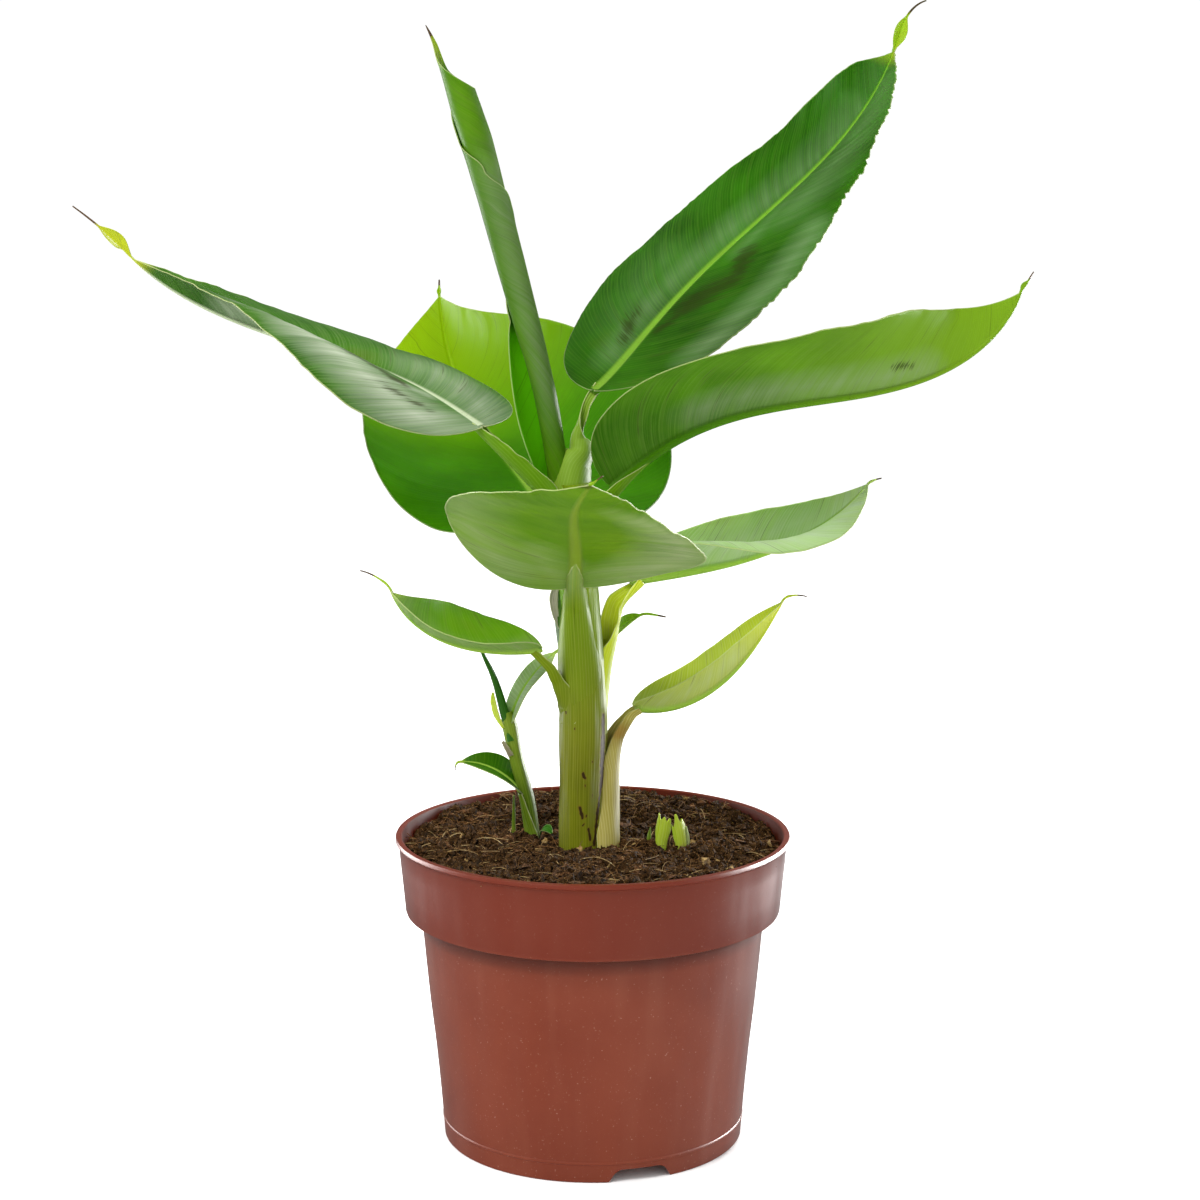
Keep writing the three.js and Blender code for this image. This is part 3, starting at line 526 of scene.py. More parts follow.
def directions(heading, rise, roll):
    """Ahead along a blade's midrib, left across it and up from it."""
    h, r, o = math.radians(heading), math.radians(rise), math.radians(roll)
    ahead = Vector((math.cos(r) * math.cos(h), math.cos(r) * math.sin(h), math.sin(r)))
    level = Vector((-math.sin(h), math.cos(h), 0))
    above = ahead.cross(level)
    return ahead, level * math.cos(o) + above * math.sin(o), above * math.cos(o) - level * math.sin(o)


def midrib(leaf):
    """The midrib's stations, from the base (0) past the blade's end (1) to the end of the tip (2)."""
    tip = leaf["tip"]
    spot, before, stations = Vector(leaf["base"]), None, []
    for i in range(2 * PATH_STEPS + 1):
        t = i / PATH_STEPS
        u, past = min(t, 1), max(t - 1, 0)
        ease = min(4 * past, 1)
        heading = along(leaf["heading"], u)
        heading += (along(tip["heading"], past) - heading) * ease
        rise = along(leaf["rise"], u) + leaf["bend"] * math.exp(-u / BEND_REACH)
        rise += (along(tip["rise"], past) - rise) * ease
        ahead, left, up = directions(heading, rise, along(leaf["roll"], u) + tip["turn"] * ease)
        if before is not None:
            length = tip["length"] if t > 1 else leaf["length"]
            spot = spot + (ahead + before) * 0.5 * (length / PATH_STEPS)
        before = ahead
        stations.append((spot, ahead, left, up))
    return stations


# What a point of the plant says of itself: mm from the margin, on the rib, dried, young, bruised,
# covered with wax and painted sheen.
MARKS = ("edge", "rib", "dry", "young", "bruise", "bloom_and_sheen")


def outline(shape, t):
    """Half width of a blade at share t of its length, as a share of its widest."""
    widest, shoulder, point = shape
    if t < widest:
        return (1 - (1 - t / widest) ** 2) ** shoulder
    return max(0.0, 1 - ((t - widest) / (1 - widest)) ** point)


def marked_grid(name, rows, columns, place):
    """A grid whose point (x, v), x 0..1 along and v -1..1 across, goes where place(x, v) says, with
    its pattern coordinates and marks; and what place said of each point."""
    start_clean()
    bpy.ops.mesh.primitive_grid_add(x_subdivisions=rows, y_subdivisions=columns, size=2)
    piece = bpy.context.object
    piece.name = name
    mesh = piece.data
    spots = [place((v.co.x + 1) / 2, v.co.y) for v in mesh.vertices]
    for vertex, spot in zip(mesh.vertices, spots):
        vertex.co = (spot["at"] + Vector((0, 0, STEM_FOOT / MM))) * MM
    for mark in MARKS:
        layer = mesh.attributes.new(mark, "FLOAT", "POINT")
        layer.data.foreach_set("value", [spot.get(mark, 0.0) for spot in spots])
    veins = mesh.uv_layers[0]
    veins.name = "veins"
    for loop, uv in zip(mesh.loops, veins.data):
        uv.uv = spots[loop.vertex_index]["uv"]
    return piece, spots


def sheet(name, rows, columns, place, thickest):
    """A closed sheet: a marked grid with the walls, in mm, that place gives, up to the thickest."""
    piece, spots = marked_grid(name, rows, columns, place)
    wall = piece.vertex_groups.new(name="wall")
    for number, spot in enumerate(spots):
        wall.add([number], min(spot["wall"] / thickest, 1.0), "REPLACE")
    apply_modifier(piece, "SOLIDIFY", thickness=thickest * MM, offset=-1, vertex_group="wall",
                   use_even_offset=False, material_offset=1, material_offset_rim=2)
    start_clean()
    piece.select_set(True)
    bpy.ops.object.shade_smooth()
    return piece


def off_line(here, start, end):
    """How far a point of a flat map lies from the straight line between two others."""
    reach = end - start
    nearest = start + reach * min(max((here - start).dot(reach) / reach.length_squared, 0), 1)
    return (here - nearest).length


def depth_in(spots, u, length, out_mm, width):
    """How deep a point of a blade lies in any of the spots, in their half widths from their rims."""
    deepest = 0.0
    here = Vector((u * length, out_mm))
    for (from_u, from_v), (to_u, to_v), half, *strength in spots:
        start, end = Vector((from_u * length, from_v * width)), Vector((to_u * length, to_v * width))
        off = off_line(here, start, end)
        deepest = max(deepest, (1 - off / (2 * half)) * (strength[0] if strength else 1))
    return deepest


def blade(name, leaf):
    """A leaf's blade with its midrib, its veins' coordinates and where it is dry, young or edged."""
    stations = midrib(leaf)
    tail_share = 0.05 + 0.5 * leaf["tip"]["length"] / (leaf["length"] + leaf["tip"]["length"])
    rib_half, rib_deep = leaf["rib"]
    columns = leaf["columns"]
    seed = Vector((len(name) * 3.1, leaf["length"], 0))
    bruises, wax_and_sheen = BRUISES.get(name, []), BLOOM_AND_SHEEN.get(name, [])
    crown = leaf.get("crown", (0, 0))
    ragged = leaf.get("ragged", (0, 0))

    def place(x, v):
        if x < 1 - tail_share:
            even = x / (1 - tail_share)
            t = even - CROWDING * math.sin(2 * math.pi * even)
        else:
            t = 1 + (x - 1 + tail_share) / tail_share
        u, past = min(t, 1), max(t - 1, 0)
        index = min(int(t * PATH_STEPS), 2 * PATH_STEPS - 1)
        share = t * PATH_STEPS - index
        here, there = stations[index], stations[index + 1]
        spot, ahead, left, up = (a.lerp(b, share) for a, b in zip(here, there))
        side = -1 if v < 0 else 1
        fold_triple, curl_triple = leaf["right"] if v < 0 else leaf["left"]
        spoon = leaf["tip"]["spoon"] * math.sin(math.pi * past / SPOON_END) if 0 < past < SPOON_END else 0
        number = 1 if v < 0 else 0
        width = leaf["width"][number] * outline(leaf["outline"], u)
        width += crown[number] * eased(u, 0.72, 0.9) * (1 - eased(u, 0.93, 1.0))
        width = max(spoon if t > 1 else width, TAIL_HALF_WIDTH * (1 - 0.6 * past))
        # the first columns lie on the midrib, the others share the blade
        half = min(rib_half * (1 - 0.75 * u), 0.45 * width)
        column = abs(v) * columns
        if column <= RIB_COLUMNS:
            out_mm = half * column / RIB_COLUMNS
        else:
            out_mm = half + (width - half) * (column - RIB_COLUMNS) / (columns - RIB_COLUMNS)
        across = out_mm / width
        fold = math.radians(along(fold_triple, u)) * (1 - past)
        curl = math.radians(along(curl_triple, u)) or 1e-4
        angle = fold + curl * across
        out = width * (math.sin(angle) - math.sin(fold)) / curl
        lift = width * (math.cos(fold) - math.cos(angle)) / curl
        lobe = leaf["lobe"] * across ** 1.5 * math.exp(-u / LOBE_REACH)
        # veins leave the midrib and sweep towards the tip
        length = leaf["length"]
        sweep = leaf.get("sweep", SWEEP) * across ** 1.15 * min(1, 0.2 + 2.4 * u, width / SWEEP_FROM)
        vein = length * (u + past * 0.15 - sweep)
        # blade between the veins: long waves that grow towards the margin, and shallow pleats
        wave = noise.noise(Vector((vein / WAVE[0], side * 5, 0)) + seed) * WAVE[1] * across ** 2
        wave += noise.noise(Vector((vein / RIPPLE[0], side * 9 + across, 3)) + seed) * RIPPLE[1] * across
        pleat = PLEAT[1] * noise.noise(Vector((vein / PLEAT[0], 0.3 * across, side)) + seed)
        calm = 1 - eased(past, 0, 0.2)
        bend = (wave * leaf["ripple"] + pleat * eased(across, 0.02, 0.2)) * calm * min(1, width / WAVE_FROM)
        tooth = ragged[number] * eased(across, 0.9, 1) * calm * eased(u, 0.1, 0.3)
        bend += 0.9 * tooth * noise.noise(Vector((u * length / TOOTH_LIFT, 7, side)) + seed)
        out += tooth * noise.noise(Vector((u * length / TOOTH_REACH, side, 0)) + seed)
        groove = GROOVE * min(1, half / 2) * max(0, 1 - (out_mm / half) ** 2) if half else 0
        lean = angle if out_mm else 0
        normal = up * math.cos(lean) - left * (side * math.sin(lean))
        at = spot + left * (side * out) + up * lift - ahead * lobe + normal * (bend - groove)
        rib = rib_deep * (1 - 0.8 * u) * math.sqrt(max(0, 1 - (out_mm / half) ** 2)) * calm if half else 0
        low, high = leaf["yellow"]
        return {
            "at": at, "uv": (vein * MM, side * out_mm * MM), "wall": max(BLADE_MM, rib),
            "edge": width - out_mm + 4 * eased(past, 0, 0.2),
            "bruise": 0 if past else depth_in(bruises, u, length, side * out_mm, width),
            "bloom_and_sheen": 0 if past else depth_in(wax_and_sheen, u, length, side * out_mm, width),
            "rib": max(0, 1 - out_mm / (half * 1.15)) * (1 - 0.6 * u * u) if half else 0,
            "dry": eased(past, *TIP_DRIED), "young": eased(u, low, high),
        }

    return sheet(name + "_blade", leaf["rows"], 2 * columns, place, max(rib_deep, BLADE_MM))


def tissue(name, greens, grain_mm, vein_mm=2.0, rough=0.38, glow=0.4, glow_tint="#a8e020", relief=0.18,
           gloss=0.12, edge_mm=0.6, rib="#9cc048", lines=0.28, withered="#5c4630", wax_and_sheen="#a4bc94"):
    """Living banana tissue, lit partly from behind: fine parallel veins or fibres in two greens, a
    pale rib and margin, yellow where it is young or old, brown where it has dried, whitish where it has wax
    and painted sheen."""
    deep, light, line, young = greens.split()
    material, tree, output = new_material(name)
    where = node(tree, "UVMap", uv_map="veins").outputs[0]
    solid = node(tree, "TexCoord").outputs["Object"]
    fine_scale = (1 / (grain_mm[0] * MM), 1 / (grain_mm[1] * MM), 1)
    broad_scale = tuple(value / 6 for value in fine_scale[:2]) + (1,)
    fine_place, broad_place = (node(tree, "Mapping", {"Vector": where, "Scale": scale}).outputs[0]
                               for scale in (fine_scale, broad_scale))
    fine, broad, cloud = (node(tree, "TexNoise", inputs).outputs["Fac"] for inputs in (
        {"Vector": fine_place, "Scale": 1, "Detail": 3, "Roughness": 0.6},
        {"Vector": broad_place, "Scale": 1, "Detail": 2},
        {"Vector": solid, "Scale": 22, "Detail": 3}))
    marks = {key: node(tree, "Attribute", attribute_name=key, attribute_type="GEOMETRY").outputs["Fac"]
             for key in MARKS}
    # the wax with its painted sheen and the bruises break up along the veins, the dried parts in clouds
    for mark, pattern, low, high, least, most, how in (
            ("bloom_and_sheen", broad, 0.35, 0.65, 0.6, 1.15, "MULTIPLY"),
            ("bloom_and_sheen", fine, 0.3, 0.7, 0.75, 1.2, "MULTIPLY"),
            ("bruise", fine, 0.3, 0.7, -0.7, 0.45, "ADD"),
            ("dry", cloud, 0.2, 0.8, -0.2, 0.2, "ADD")):
        taken = node(tree, "MapRange", {0: pattern, 1: low, 2: high, 3: least, 4: most}).outputs[0]
        marks[mark] = node(tree, "Math", {0: marks[mark], 1: taken}, operation=how).outputs[0]
    # thin pale lines a vein's spacing apart, a little uneven
    across = node(tree, "SeparateXYZ", {0: where}).outputs[0 if grain_mm[0] < grain_mm[1] else 1]
    turns = node(tree, "Math", {0: across, 1: 2 * math.pi / (vein_mm * MM)}, operation="MULTIPLY")
    uneven = node(tree, "Math", {0: broad, 1: 9.0, 2: turns.outputs[0]}, operation="MULTIPLY_ADD")
    wave = node(tree, "Math", {0: uneven.outputs[0]}, operation="SINE").outputs[0]
    vein = node(tree, "MapRange", {0: wave, 1: 0.55, 2: 1.0, 3: 0.0, 4: 1.0}).outputs[0]
    colour = coated(tree, deep, [
        (cloud, 0.35, 0.65, 0, 1, light),
        (broad, 0.4, 0.65, 0, 0.25, deep),
        (fine, 0.45, 0.7, 0, 0.35, line),
        (marks["young"], 0, 1, 0, 1, young),
        # whitish wax, with painted sheen where light glances off the blade
        (marks["bloom_and_sheen"], 0, 1, 0, 1, wax_and_sheen),
        (vein, 0, 1, 0, lines, line),
        (marks["rib"], 0.05, 0.5, 0, 1, coated(tree, rib, [(marks["young"], 0, 1, 0, 1, young)])),
        (marks["bruise"], 0.15, 0.5, 0, 0.75, "#2c2a0c"),
        (marks["edge"], edge_mm * 0.4, edge_mm, 0.6, 0, "#c4cc8c"),
        (marks["dry"], 0.1, 0.45, 0, 0.5, "#7c6020"),
        (marks["dry"], 0.42, 0.62, 0, 1, withered),
    ])
    height = node(tree, "Math", {0: vein, 1: fine}, operation="ADD").outputs[0]
    bump = node(tree, "Bump", {"Strength": relief, "Distance": 0.25 * MM, "Height": height})
    shader = node(tree, "BsdfPrincipled", {"Base Color": colour, "Roughness": rough, "IOR": 1.42,
                                           "Specular IOR Level": gloss, "Normal": bump.outputs["Normal"]})
    # light that comes through is tinted by the tissue, and where it is young mostly by its sap
    through = node(tree, "Mix", {0: 1.0, 6: colour, 7: linear(glow_tint)}, data_type="RGBA",
                   blend_type="MULTIPLY").outputs[2]
    sappy = node(tree, "MapRange", {0: marks["young"], 1: 0, 2: 1, 3: 0.3, 4: 0.15}).outputs[0]
    through = node(tree, "Mix", {0: sappy, 6: through, 7: linear(glow_tint)}, data_type="RGBA").outputs[2]
    backlit = node(tree, "BsdfTranslucent", {"Color": through})
    both = node(tree, "MixShader", {0: glow, 1: shader.outputs[0], 2: backlit.outputs[0]})
    tree.links.new(both.outputs[0], output.inputs["Surface"])
    return material


VEIN_GRAIN = (1.1, 60)      # mm across and along the veins
# Each leaf's own greens, light shone through it, and its wax with painted sheen: the old ones deep green,
# the young ones lime.
FINISHES = {
    # name: top in three greens and what it turns to when young or old, underside in three greens,
    # how much light comes through, and that light's colour and the colour of the wax with its painted sheen
    "upper_right": ("#1a4200 #306c00 #609428 #b4c028", "#5b8c3c #7fa860 #a2c48a", 0.48, "#90ec00 #7c9468"),
    "right": ("#3a6c08 #5c9210 #8cb44c #78a018", "#62a004 #7ab80c #a0c83c", 0.32, "#98d800 #96a680"),
    "left": ("#245404 #3c6c10 #749450 #b0b820", "#5c8428 #7ca04c #a0bc78", 0.25, "#80c818 #aeb6a0"),
    # the back leaf's last top green is its painted backlight
    "back": ("#347800 #489000 #60a00c #94b600", "#3c8010 #5c9c24 #80b448", 0.45, "#a4d800 #a0b888"),
    "front": ("#4a7a08 #679010 #8eae38 #8cb020", "#667a00 #7e8e04 #9cae34", 0.3, "#98d000 #a6b082"),
    "right_mid": ("#7ca640 #a0c068 #c4d69c #bcd068", "#8cb656 #b2d48a #d2e6b2", 0.35, "#b8e848 #b8c4a8"),
    "left_lower": ("#4c8806 #689c0c #94bc40 #b0cc40", "#78a44a #a2c484 #c6dcac", 0.35, "#90d010 #98ac70"),
    "right_lower": ("#98a830 #b0bc3c #ccd480 #ccd43c", "#a0b44a #c4d07c #dce4a4", 0.35, "#d0e848 #c0c898"),
    "back_shoot": ("#7ca814 #98bc20 #b4cc50 #a8c840", "#7ca814 #98bc20 #b4cc50", 0.4, "#a8e020 #a4bc94"),
    "sucker_low": ("#1c4c00 #2e6000 #50800c #90a828", "#306010 #487428 #6c9448", 0.2, "#60b800 #a4bc94"),
    "sucker_right": ("#7ca048 #a4c07c #c8d8a8 #b8d058", "#5c8c34 #88b064 #b4cc98", 0.35, "#b8e064 #b4c0a4"),
}
margin = tissue("dry leaf margin", "#8ca048 #a4b468 #b8c48c #c8c080", (2, 2), glow=0.3)
for name, leaf in LEAVES.items():
    top, under, glow, through = FINISHES[name]
    tint, wax_and_sheen = through.split()
    shared = dict(glow=glow, glow_tint=tint, wax_and_sheen=wax_and_sheen, lines=leaf.get("lines", 0.28),
                  edge_mm=0.6 if leaf["length"] > 60 else 0.3)
    upper = tissue(name + " blade, waxy top", top, VEIN_GRAIN, rib=leaf.get("crest", "#9cc048"), **shared)
    lower = tissue(name + " blade, bloomy underside", under + " " + top.split()[-1], VEIN_GRAIN, rough=0.5,
                   rib=leaf.get("keel", "#9cc048"), **shared)
    grown = blade(name, leaf)
    finished(grown, "leaf", upper, lower, margin)
    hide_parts("leaf_" + name)

# ---------------------------------------------------------------- petioles and their sheaths
# Every leaf stands on a channelled stalk that opens downwards into a sheath wrapped round the
# stem. Fleshy at the back, thinning to pale, papery wings along both edges.
STALKS = {
    # name: line, radius at each of its points and at the blade, spread of the arc to each side and
    # how far the opening is turned round the line, both in degrees
    "upper_right": dict(
        line=[(-9, 0, 120), (-10, 0.5, 160), (-12, 1.5, 184), (-11.2, 2, 194), (-9.6, 3, 203),
              (-6.6, 4, 210.5), (-7.7, 4, 217), (-6.6, 4, 223), (-4.6, 4, 229), (-2.4, 4.4, 236)],
        radius=[8.5, 9.4, 11, 10.4, 9.2, 6.8, 3.9, 2.3, 2, 2, 2.4],
        spread=[175, 175, 172, 172, 170, 165, 150, 120, 110, 100, 95],
        turn=[150, 150, 150, 150, 150, 150, 140, 100, 50, 20, 0]),
    "right": dict(
        line=[(-6.5, 0, 112), (-5.6, -1, 142), (-4.5, -2.5, 162), (0.5, -7.5, 175), (5.6, -13.5, 185.5)],
        radius=[9.4, 8.6, 7.6, 6.4, 5.2, 4.2], spread=[165, 150, 135, 120, 110, 95], turn=[0] * 6,
        keeled=0.12),
    "left": dict(
        line=[(-8, -1, 112), (-10, -2, 146), (-14.5, -4, 172), (-20, -6, 187), (-31, -9.5, 200),
              (-45, -12, 213.5)],
        radius=[9.2, 8.4, 7.4, 6.8, 6.2, 5.2, 3.6], spread=[165, 150, 130, 120, 112, 105, 95],
        turn=[0, 0, 10, 28, 38, 32, 5], wavy=14),
    "back": dict(
        line=[(-7, 0.5, 96), (-11, 1, 122), (-12.6, 2.5, 145), (-16.5, 8, 165), (-23.5, 15, 178)],
        radius=[9.8, 9.2, 7.6, 5.9, 5.0, 4.4], spread=[165, 155, 135, 115, 105, 95], turn=[0] * 6),
    "front": dict(
        line=[(-5.5, 0, 50), (-6, -0.6, 84), (-7, -1.6, 104), (-8, -4, 118), (-9, -9.5, 131),
              (-9.3, -18, 140)],
        radius=[11, 12.2, 11.6, 9.6, 6.8, 5.2, 4.2], spread=[170, 165, 155, 130, 115, 105, 95],
        turn=[0] * 7, wax_and_sheen_share=0.22, keeled=0.15),
    "right_mid": dict(
        line=[(-4.5, 1, 50), (-1.5, 2.4, 76), (2.6, 3.8, 96), (7.0, 5, 110), (9.2, 5.5, 120),
              (12.5, 5.5, 131)],
        radius=[10.6, 9.6, 7.6, 5.8, 5.4, 5.2, 4.2], spread=[165, 150, 130, 112, 100, 95, 95],
        turn=[0, 0, 10, 40, 62, 50, 0]),
    "left_lower": dict(
        line=[(-5.6, 0, 40), (-5.4, 0, 58), (-6.2, -0.3, 70), (-10.5, -2.2, 80), (-18.2, -8.6, 91),
              (-22.5, -15, 99.5)],
        radius=[9.5, 11, 12.2, 9.2, 3.9, 3, 2.6], spread=[95, 95, 92, 100, 105, 100, 95],
        turn=[-61, -61, -58, -40, -10, 0, 0], stained=True),
    "back_shoot": dict(
        line=[(-5, 3, 50), (-3, 7, 78), (0, 14, 92)],
        radius=[8, 3.2, 2.4, 1.5], spread=[165, 120, 110, 100], turn=[0] * 4),
}
GREENING = (45, 130)   # heights over which the sheaths turn from olive to green, in mm


def smooth_line(points, steps):
    """Points and directions along a smooth curve through the given points, each with its share."""
    count = len(points) - 1
    made = []
    for i in range(steps + 1):
        spot = min(i / steps * count, count - 1e-6)
        k = int(spot)
        f = spot - k
        p = [Vector(points[min(max(k + j, 0), count)]) for j in (-1, 0, 1, 2)]
        if k == 0:
            p[0] = 2 * p[1] - p[2]
        if k == count - 1:
            p[3] = 2 * p[2] - p[1]
        at = 0.5 * (2 * p[1] + (p[2] - p[0]) * f + (2 * p[0] - 5 * p[1] + 4 * p[2] - p[3]) * f * f
                    + (3 * p[1] - p[0] - 3 * p[2] + p[3]) * f ** 3)
        ahead = 0.5 * ((p[2] - p[0]) + 2 * (2 * p[0] - 5 * p[1] + 4 * p[2] - p[3]) * f
                       + 3 * (3 * p[1] - p[0] - 3 * p[2] + p[3]) * f * f)
        made.append((at, ahead.normalized(), spot))
    return made


def stepped(values, spot):
    """The value at a station number between two given ones."""
    k = min(int(spot), len(values) - 2)
    return values[k] + (values[k + 1] - values[k]) * (spot - k)


def framed(line, last_up):
    """Each station's point, left and up directions, share and distance along the line in mm; the
    directions are carried back from the last."""
    frames = []
    up = last_up
    for at, ahead, spot in reversed(line):
        up = (up - ahead * up.dot(ahead)).normalized()
        frames.append((at, up.cross(ahead), up, spot))
    run, before, stations = 0.0, line[0][0], []
    for at, left, up, spot in reversed(frames):
        run += (at - before).length
        before = at
        stations.append((at, left, up, spot, run))
    return stations


def channel(name, points, radii, spread, turn, last_up, rows, columns, wall, wing=0.5, dry=None, wavy=5.0,
            seed=0.0, torn=0.0, wax_and_sheen_share=0.0):
    """A channelled stalk: an open arc, spread degrees to each side of its back, along a line; its
    end may be torn off by up to that share of its length."""
    stations = framed(smooth_line(points, rows), last_up)

    def place(x, v):
        lost = torn * max(0.4 + 1.1 * noise.noise(Vector((1.7 * v, seed, 0))), 0)
        at, left, up, spot, run = stations[round(x * rows * (1 - lost))]
        radius = stepped(radii, spot)
        half_turn = math.radians(stepped(spread, spot)
                                 + wavy * noise.noise(Vector((run / 8, 3 * (v > 0), seed))))
        around = half_turn * v
        angle = around + math.radians(stepped(turn, spot))
        from_edge = half_turn * radius * (1 - abs(v))
        ridge = 0.14 * noise.noise(Vector((around * radius / 1.4, run / 60, seed)))
        ripple = wavy * 0.06 * noise.noise(Vector((run / 6, 5 + 3 * (v > 0), seed)))
        reach = radius + ridge + (0.4 + ripple) * eased(2.5 - from_edge, 0, 2.5)
        thick = wing + (wall - wing) * eased(from_edge, 0.3, 0.55 * radius * half_turn)
        return {
            "at": at + left * (reach * math.sin(angle)) - up * (reach * math.cos(angle)),
            "uv": (run * MM, around * radius * MM), "wall": thick, "edge": from_edge,
            "dry": dry(at.z, -v) if dry else 0.0, "young": eased(at.z, *GREENING),
            "bloom_and_sheen": wax_and_sheen_share * eased(x, 0.55, 0.97),
        }

    # the outside of the channel is the grid's back: it is walled inwards
    return sheet(name, rows, columns, lambda x, v: place(x, -v), wall)


FIBRE_GRAIN = (60, 0.7)     # mm along and across the fibres


def stained(height, v):
    """The brown stain on the lower left stalk, where it bends out of the stem."""
    return 0.75 - math.hypot((height - 93) / 6, (v - 0.45) * 2)


def petiole_skin(name, greens, **own):
    """The firm outside of a stalk: tissue with fibres along it, and what is its own."""
    usual = dict(vein_mm=1.6, glow=0.12, glow_tint="#b8d840", edge_mm=0.7, rough=0.45, lines=0.25)
    return tissue(name, greens, FIBRE_GRAIN, **(usual | own))


skin = petiole_skin("waxy petiole skin", "#586006 #727c10 #a0a440 #6c880e", rough=0.42, lines=0.35,
                    withered="#4a2c0c")
shaded = petiole_skin("shaded sheath skin", "#23440a #365c12 #5c8034 #2c5008", glow=0.1)
bloomy = petiole_skin("bloomy petiole skin", "#5c7c1c #76942c #9cb458 #739428", rough=0.5)
leafy = petiole_skin("green petiole skin", "#4a780a #629010 #8eb044 #5c880c", edge_mm=0.5)
limey = petiole_skin("lime petiole skin", "#b8c820 #ccd834 #e0e484 #bccc24", edge_mm=0.5, glow=0.08,
                     glow_tint="#b8d040")
pith = tissue("petiole channel, smooth", "#648e08 #88ac18 #acc44c #7ca010", (60, 0.8), glow=0.12,
              glow_tint="#b8d840", edge_mm=0.7, lines=0.2)
wing = tissue("papery petiole wing", "#a8b06c #bcc488 #ccd0a0 #b8c068", (3, 1), glow=0.3)
OUTSIDES = {"left": leafy, "upper_right": bloomy, "right": leafy, "back": shaded, "right_mid": limey,
            "back_shoot": limey}
INSIDES = {"right_mid": limey}
for name, stalk in STALKS.items():
    leaf = LEAVES[name]
    stations = midrib(leaf)
    base, ahead, _, up = stations[0]
    line = stalk["line"] + [tuple(base + ahead * 4)]
    radius, spread, turn = stalk["radius"], stalk["spread"], stalk["turn"]
    if "keeled" in stalk:
        # the stalk runs on under its blade and thins into the midrib
        keel, _, _, up = stations[int(stalk["keeled"] * PATH_STEPS)]
        line, radius, spread, turn = line + [tuple(keel - up)], radius + [0.6], spread + [50], turn + [0]
    grown = channel(name + "_stalk", line, radius, spread, turn, up, 140, 40, 1.6, seed=len(name) * 1.7,
                    wavy=stalk.get("wavy", 6), wax_and_sheen_share=stalk.get("wax_and_sheen_share", 0.0),
                    dry=stained if stalk.get("stained") else None)
    finished(grown, "petiole", OUTSIDES.get(name, skin), INSIDES.get(name, pith), wing)
    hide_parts("petiole_" + name)

# ---------------------------------------------------------------- pseudostem
# The trunk is no wood but the sheaths of all the leaves, rolled one round the other.
STEM_LINE = [(-6, 0, -6), (-6, 0, 22), (-5.5, 0, 46), (-5, 0, 68), (-5.6, 0, 90), (-6.4, 0, 112),
             (-7, -0.5, 138), (-8, -1, 166), (-9.4, -1, 194)]
STEM_RADII = [12, 11.8, 12.2, 13, 12.2, 11.4, 10, 9.8, 9.4]
# Corky scabs and splits in the stem's skin: where each starts and ends, as a height and degrees
# round from the front, and its half width in mm.
SCABS = [((71, 54), (52, 58), 1.3), ((52, 58), (34, 62), 1.6), ((60, 50), (44, 52), 0.4),
         ((34, 58), (2, 34), 0.8), ((41, 2), (39, 6), 0.9), ((35, 8), (34, 9), 0.3),
         ((23, -4), (17, 3), 0.8), ((19, 14), (18, 13), 0.4), ((14, 8), (13, 3), 0.3),
         ((11, 18), (5, 24), 0.6), ((48, 25), (47, 26), 0.25), ((75, -45), (73, -44), 0.35),
         ((66, -20), (65, -20), 0.25), ((30, 30), (28, 30), 0.3)]
ARC_MM = 12.2 * math.pi / 180     # of the stem's skin, for each degree round
FAR_FROM_EDGE = 9.0               # mm: no pale margin shows so far from an edge
STRIP_HEIGHTS = (56, 118)         # where a sheath's pale margin shows along the stem's right side


def scabbed(height, v):
    """How far a point of the stem is into a scab; v is its share of half a turn from the front."""
    here = Vector((height, 180 * v * ARC_MM))
    deepest = 0.0
    for (from_height, from_turn), (to_height, to_turn), half in SCABS:
        start, end = Vector((from_height, from_turn * ARC_MM)), Vector((to_height, to_turn * ARC_MM))
        ragged = 1 + 0.8 * noise.noise(Vector((height / 2.2, v * 30, half)))
        deepest = max(deepest, 1 - off_line(here, start, end) / (2 * half * ragged))
    return deepest


def pale_strip(height, v):
    """How far in mm a point is from a margin: none inside the pale strip down the stem's right side."""
    low, high = STRIP_HEIGHTS
    inside = eased(height, low, low + 6) * (1 - eased(height, high - 20, high))
    turn = 180 * v
    inside *= eased(turn, 54 + 5 * noise.noise(Vector((height / 9, 0, 0))), 63) * (1 - eased(turn, 95, 125))
    return FAR_FROM_EDGE * (1 - inside)


def limb(name, points, radii, rows=60, columns=40, ridge=0.25, seed=0.0, dry=None, edge=None):
    """A closed tapering limb with a fibrous surface, its grid's middle to the front."""
    stations = framed(smooth_line(points, rows), Vector((0, 1, 0.01)))

    def place(x, v):
        at, left, up, spot, run = stations[round(x * rows)]
        angle = math.pi * v
        coarse = Vector((math.sin(angle), math.cos(angle), run / 70)) * 3
        fibrous = Vector((math.sin(angle), math.cos(angle), run / 300)) * 16
        radius = stepped(radii, spot) + ridge * noise.noise(coarse + Vector((seed, 0, 0)))
        radius += ridge * 0.3 * noise.noise(fibrous)
        return {
            "at": at + left * (radius * math.sin(angle)) - up * (radius * math.cos(angle)),
            "uv": (run * MM, angle * radius * MM), "edge": edge(at.z, v) if edge else FAR_FROM_EDGE,
            "dry": dry(at.z, v) if dry else 0.0, "young": eased(at.z, *GREENING),
        }

    piece, _ = marked_grid(name, rows, columns, place)
    bpy.ops.object.mode_set(mode="EDIT")
    bpy.ops.mesh.select_all(action="SELECT")
    bpy.ops.mesh.remove_doubles(threshold=0.01 * MM)
    bpy.ops.mesh.select_all(action="DESELECT")
    bpy.ops.mesh.select_non_manifold(extend=False)
    bpy.ops.mesh.edge_face_add()
    bpy.ops.mesh.select_all(action="SELECT")
    bpy.ops.mesh.normals_make_consistent(inside=False)
    bpy.ops.object.mode_set(mode="OBJECT")
    bpy.ops.object.shade_smooth_by_angle(angle=math.radians(50))
    return piece


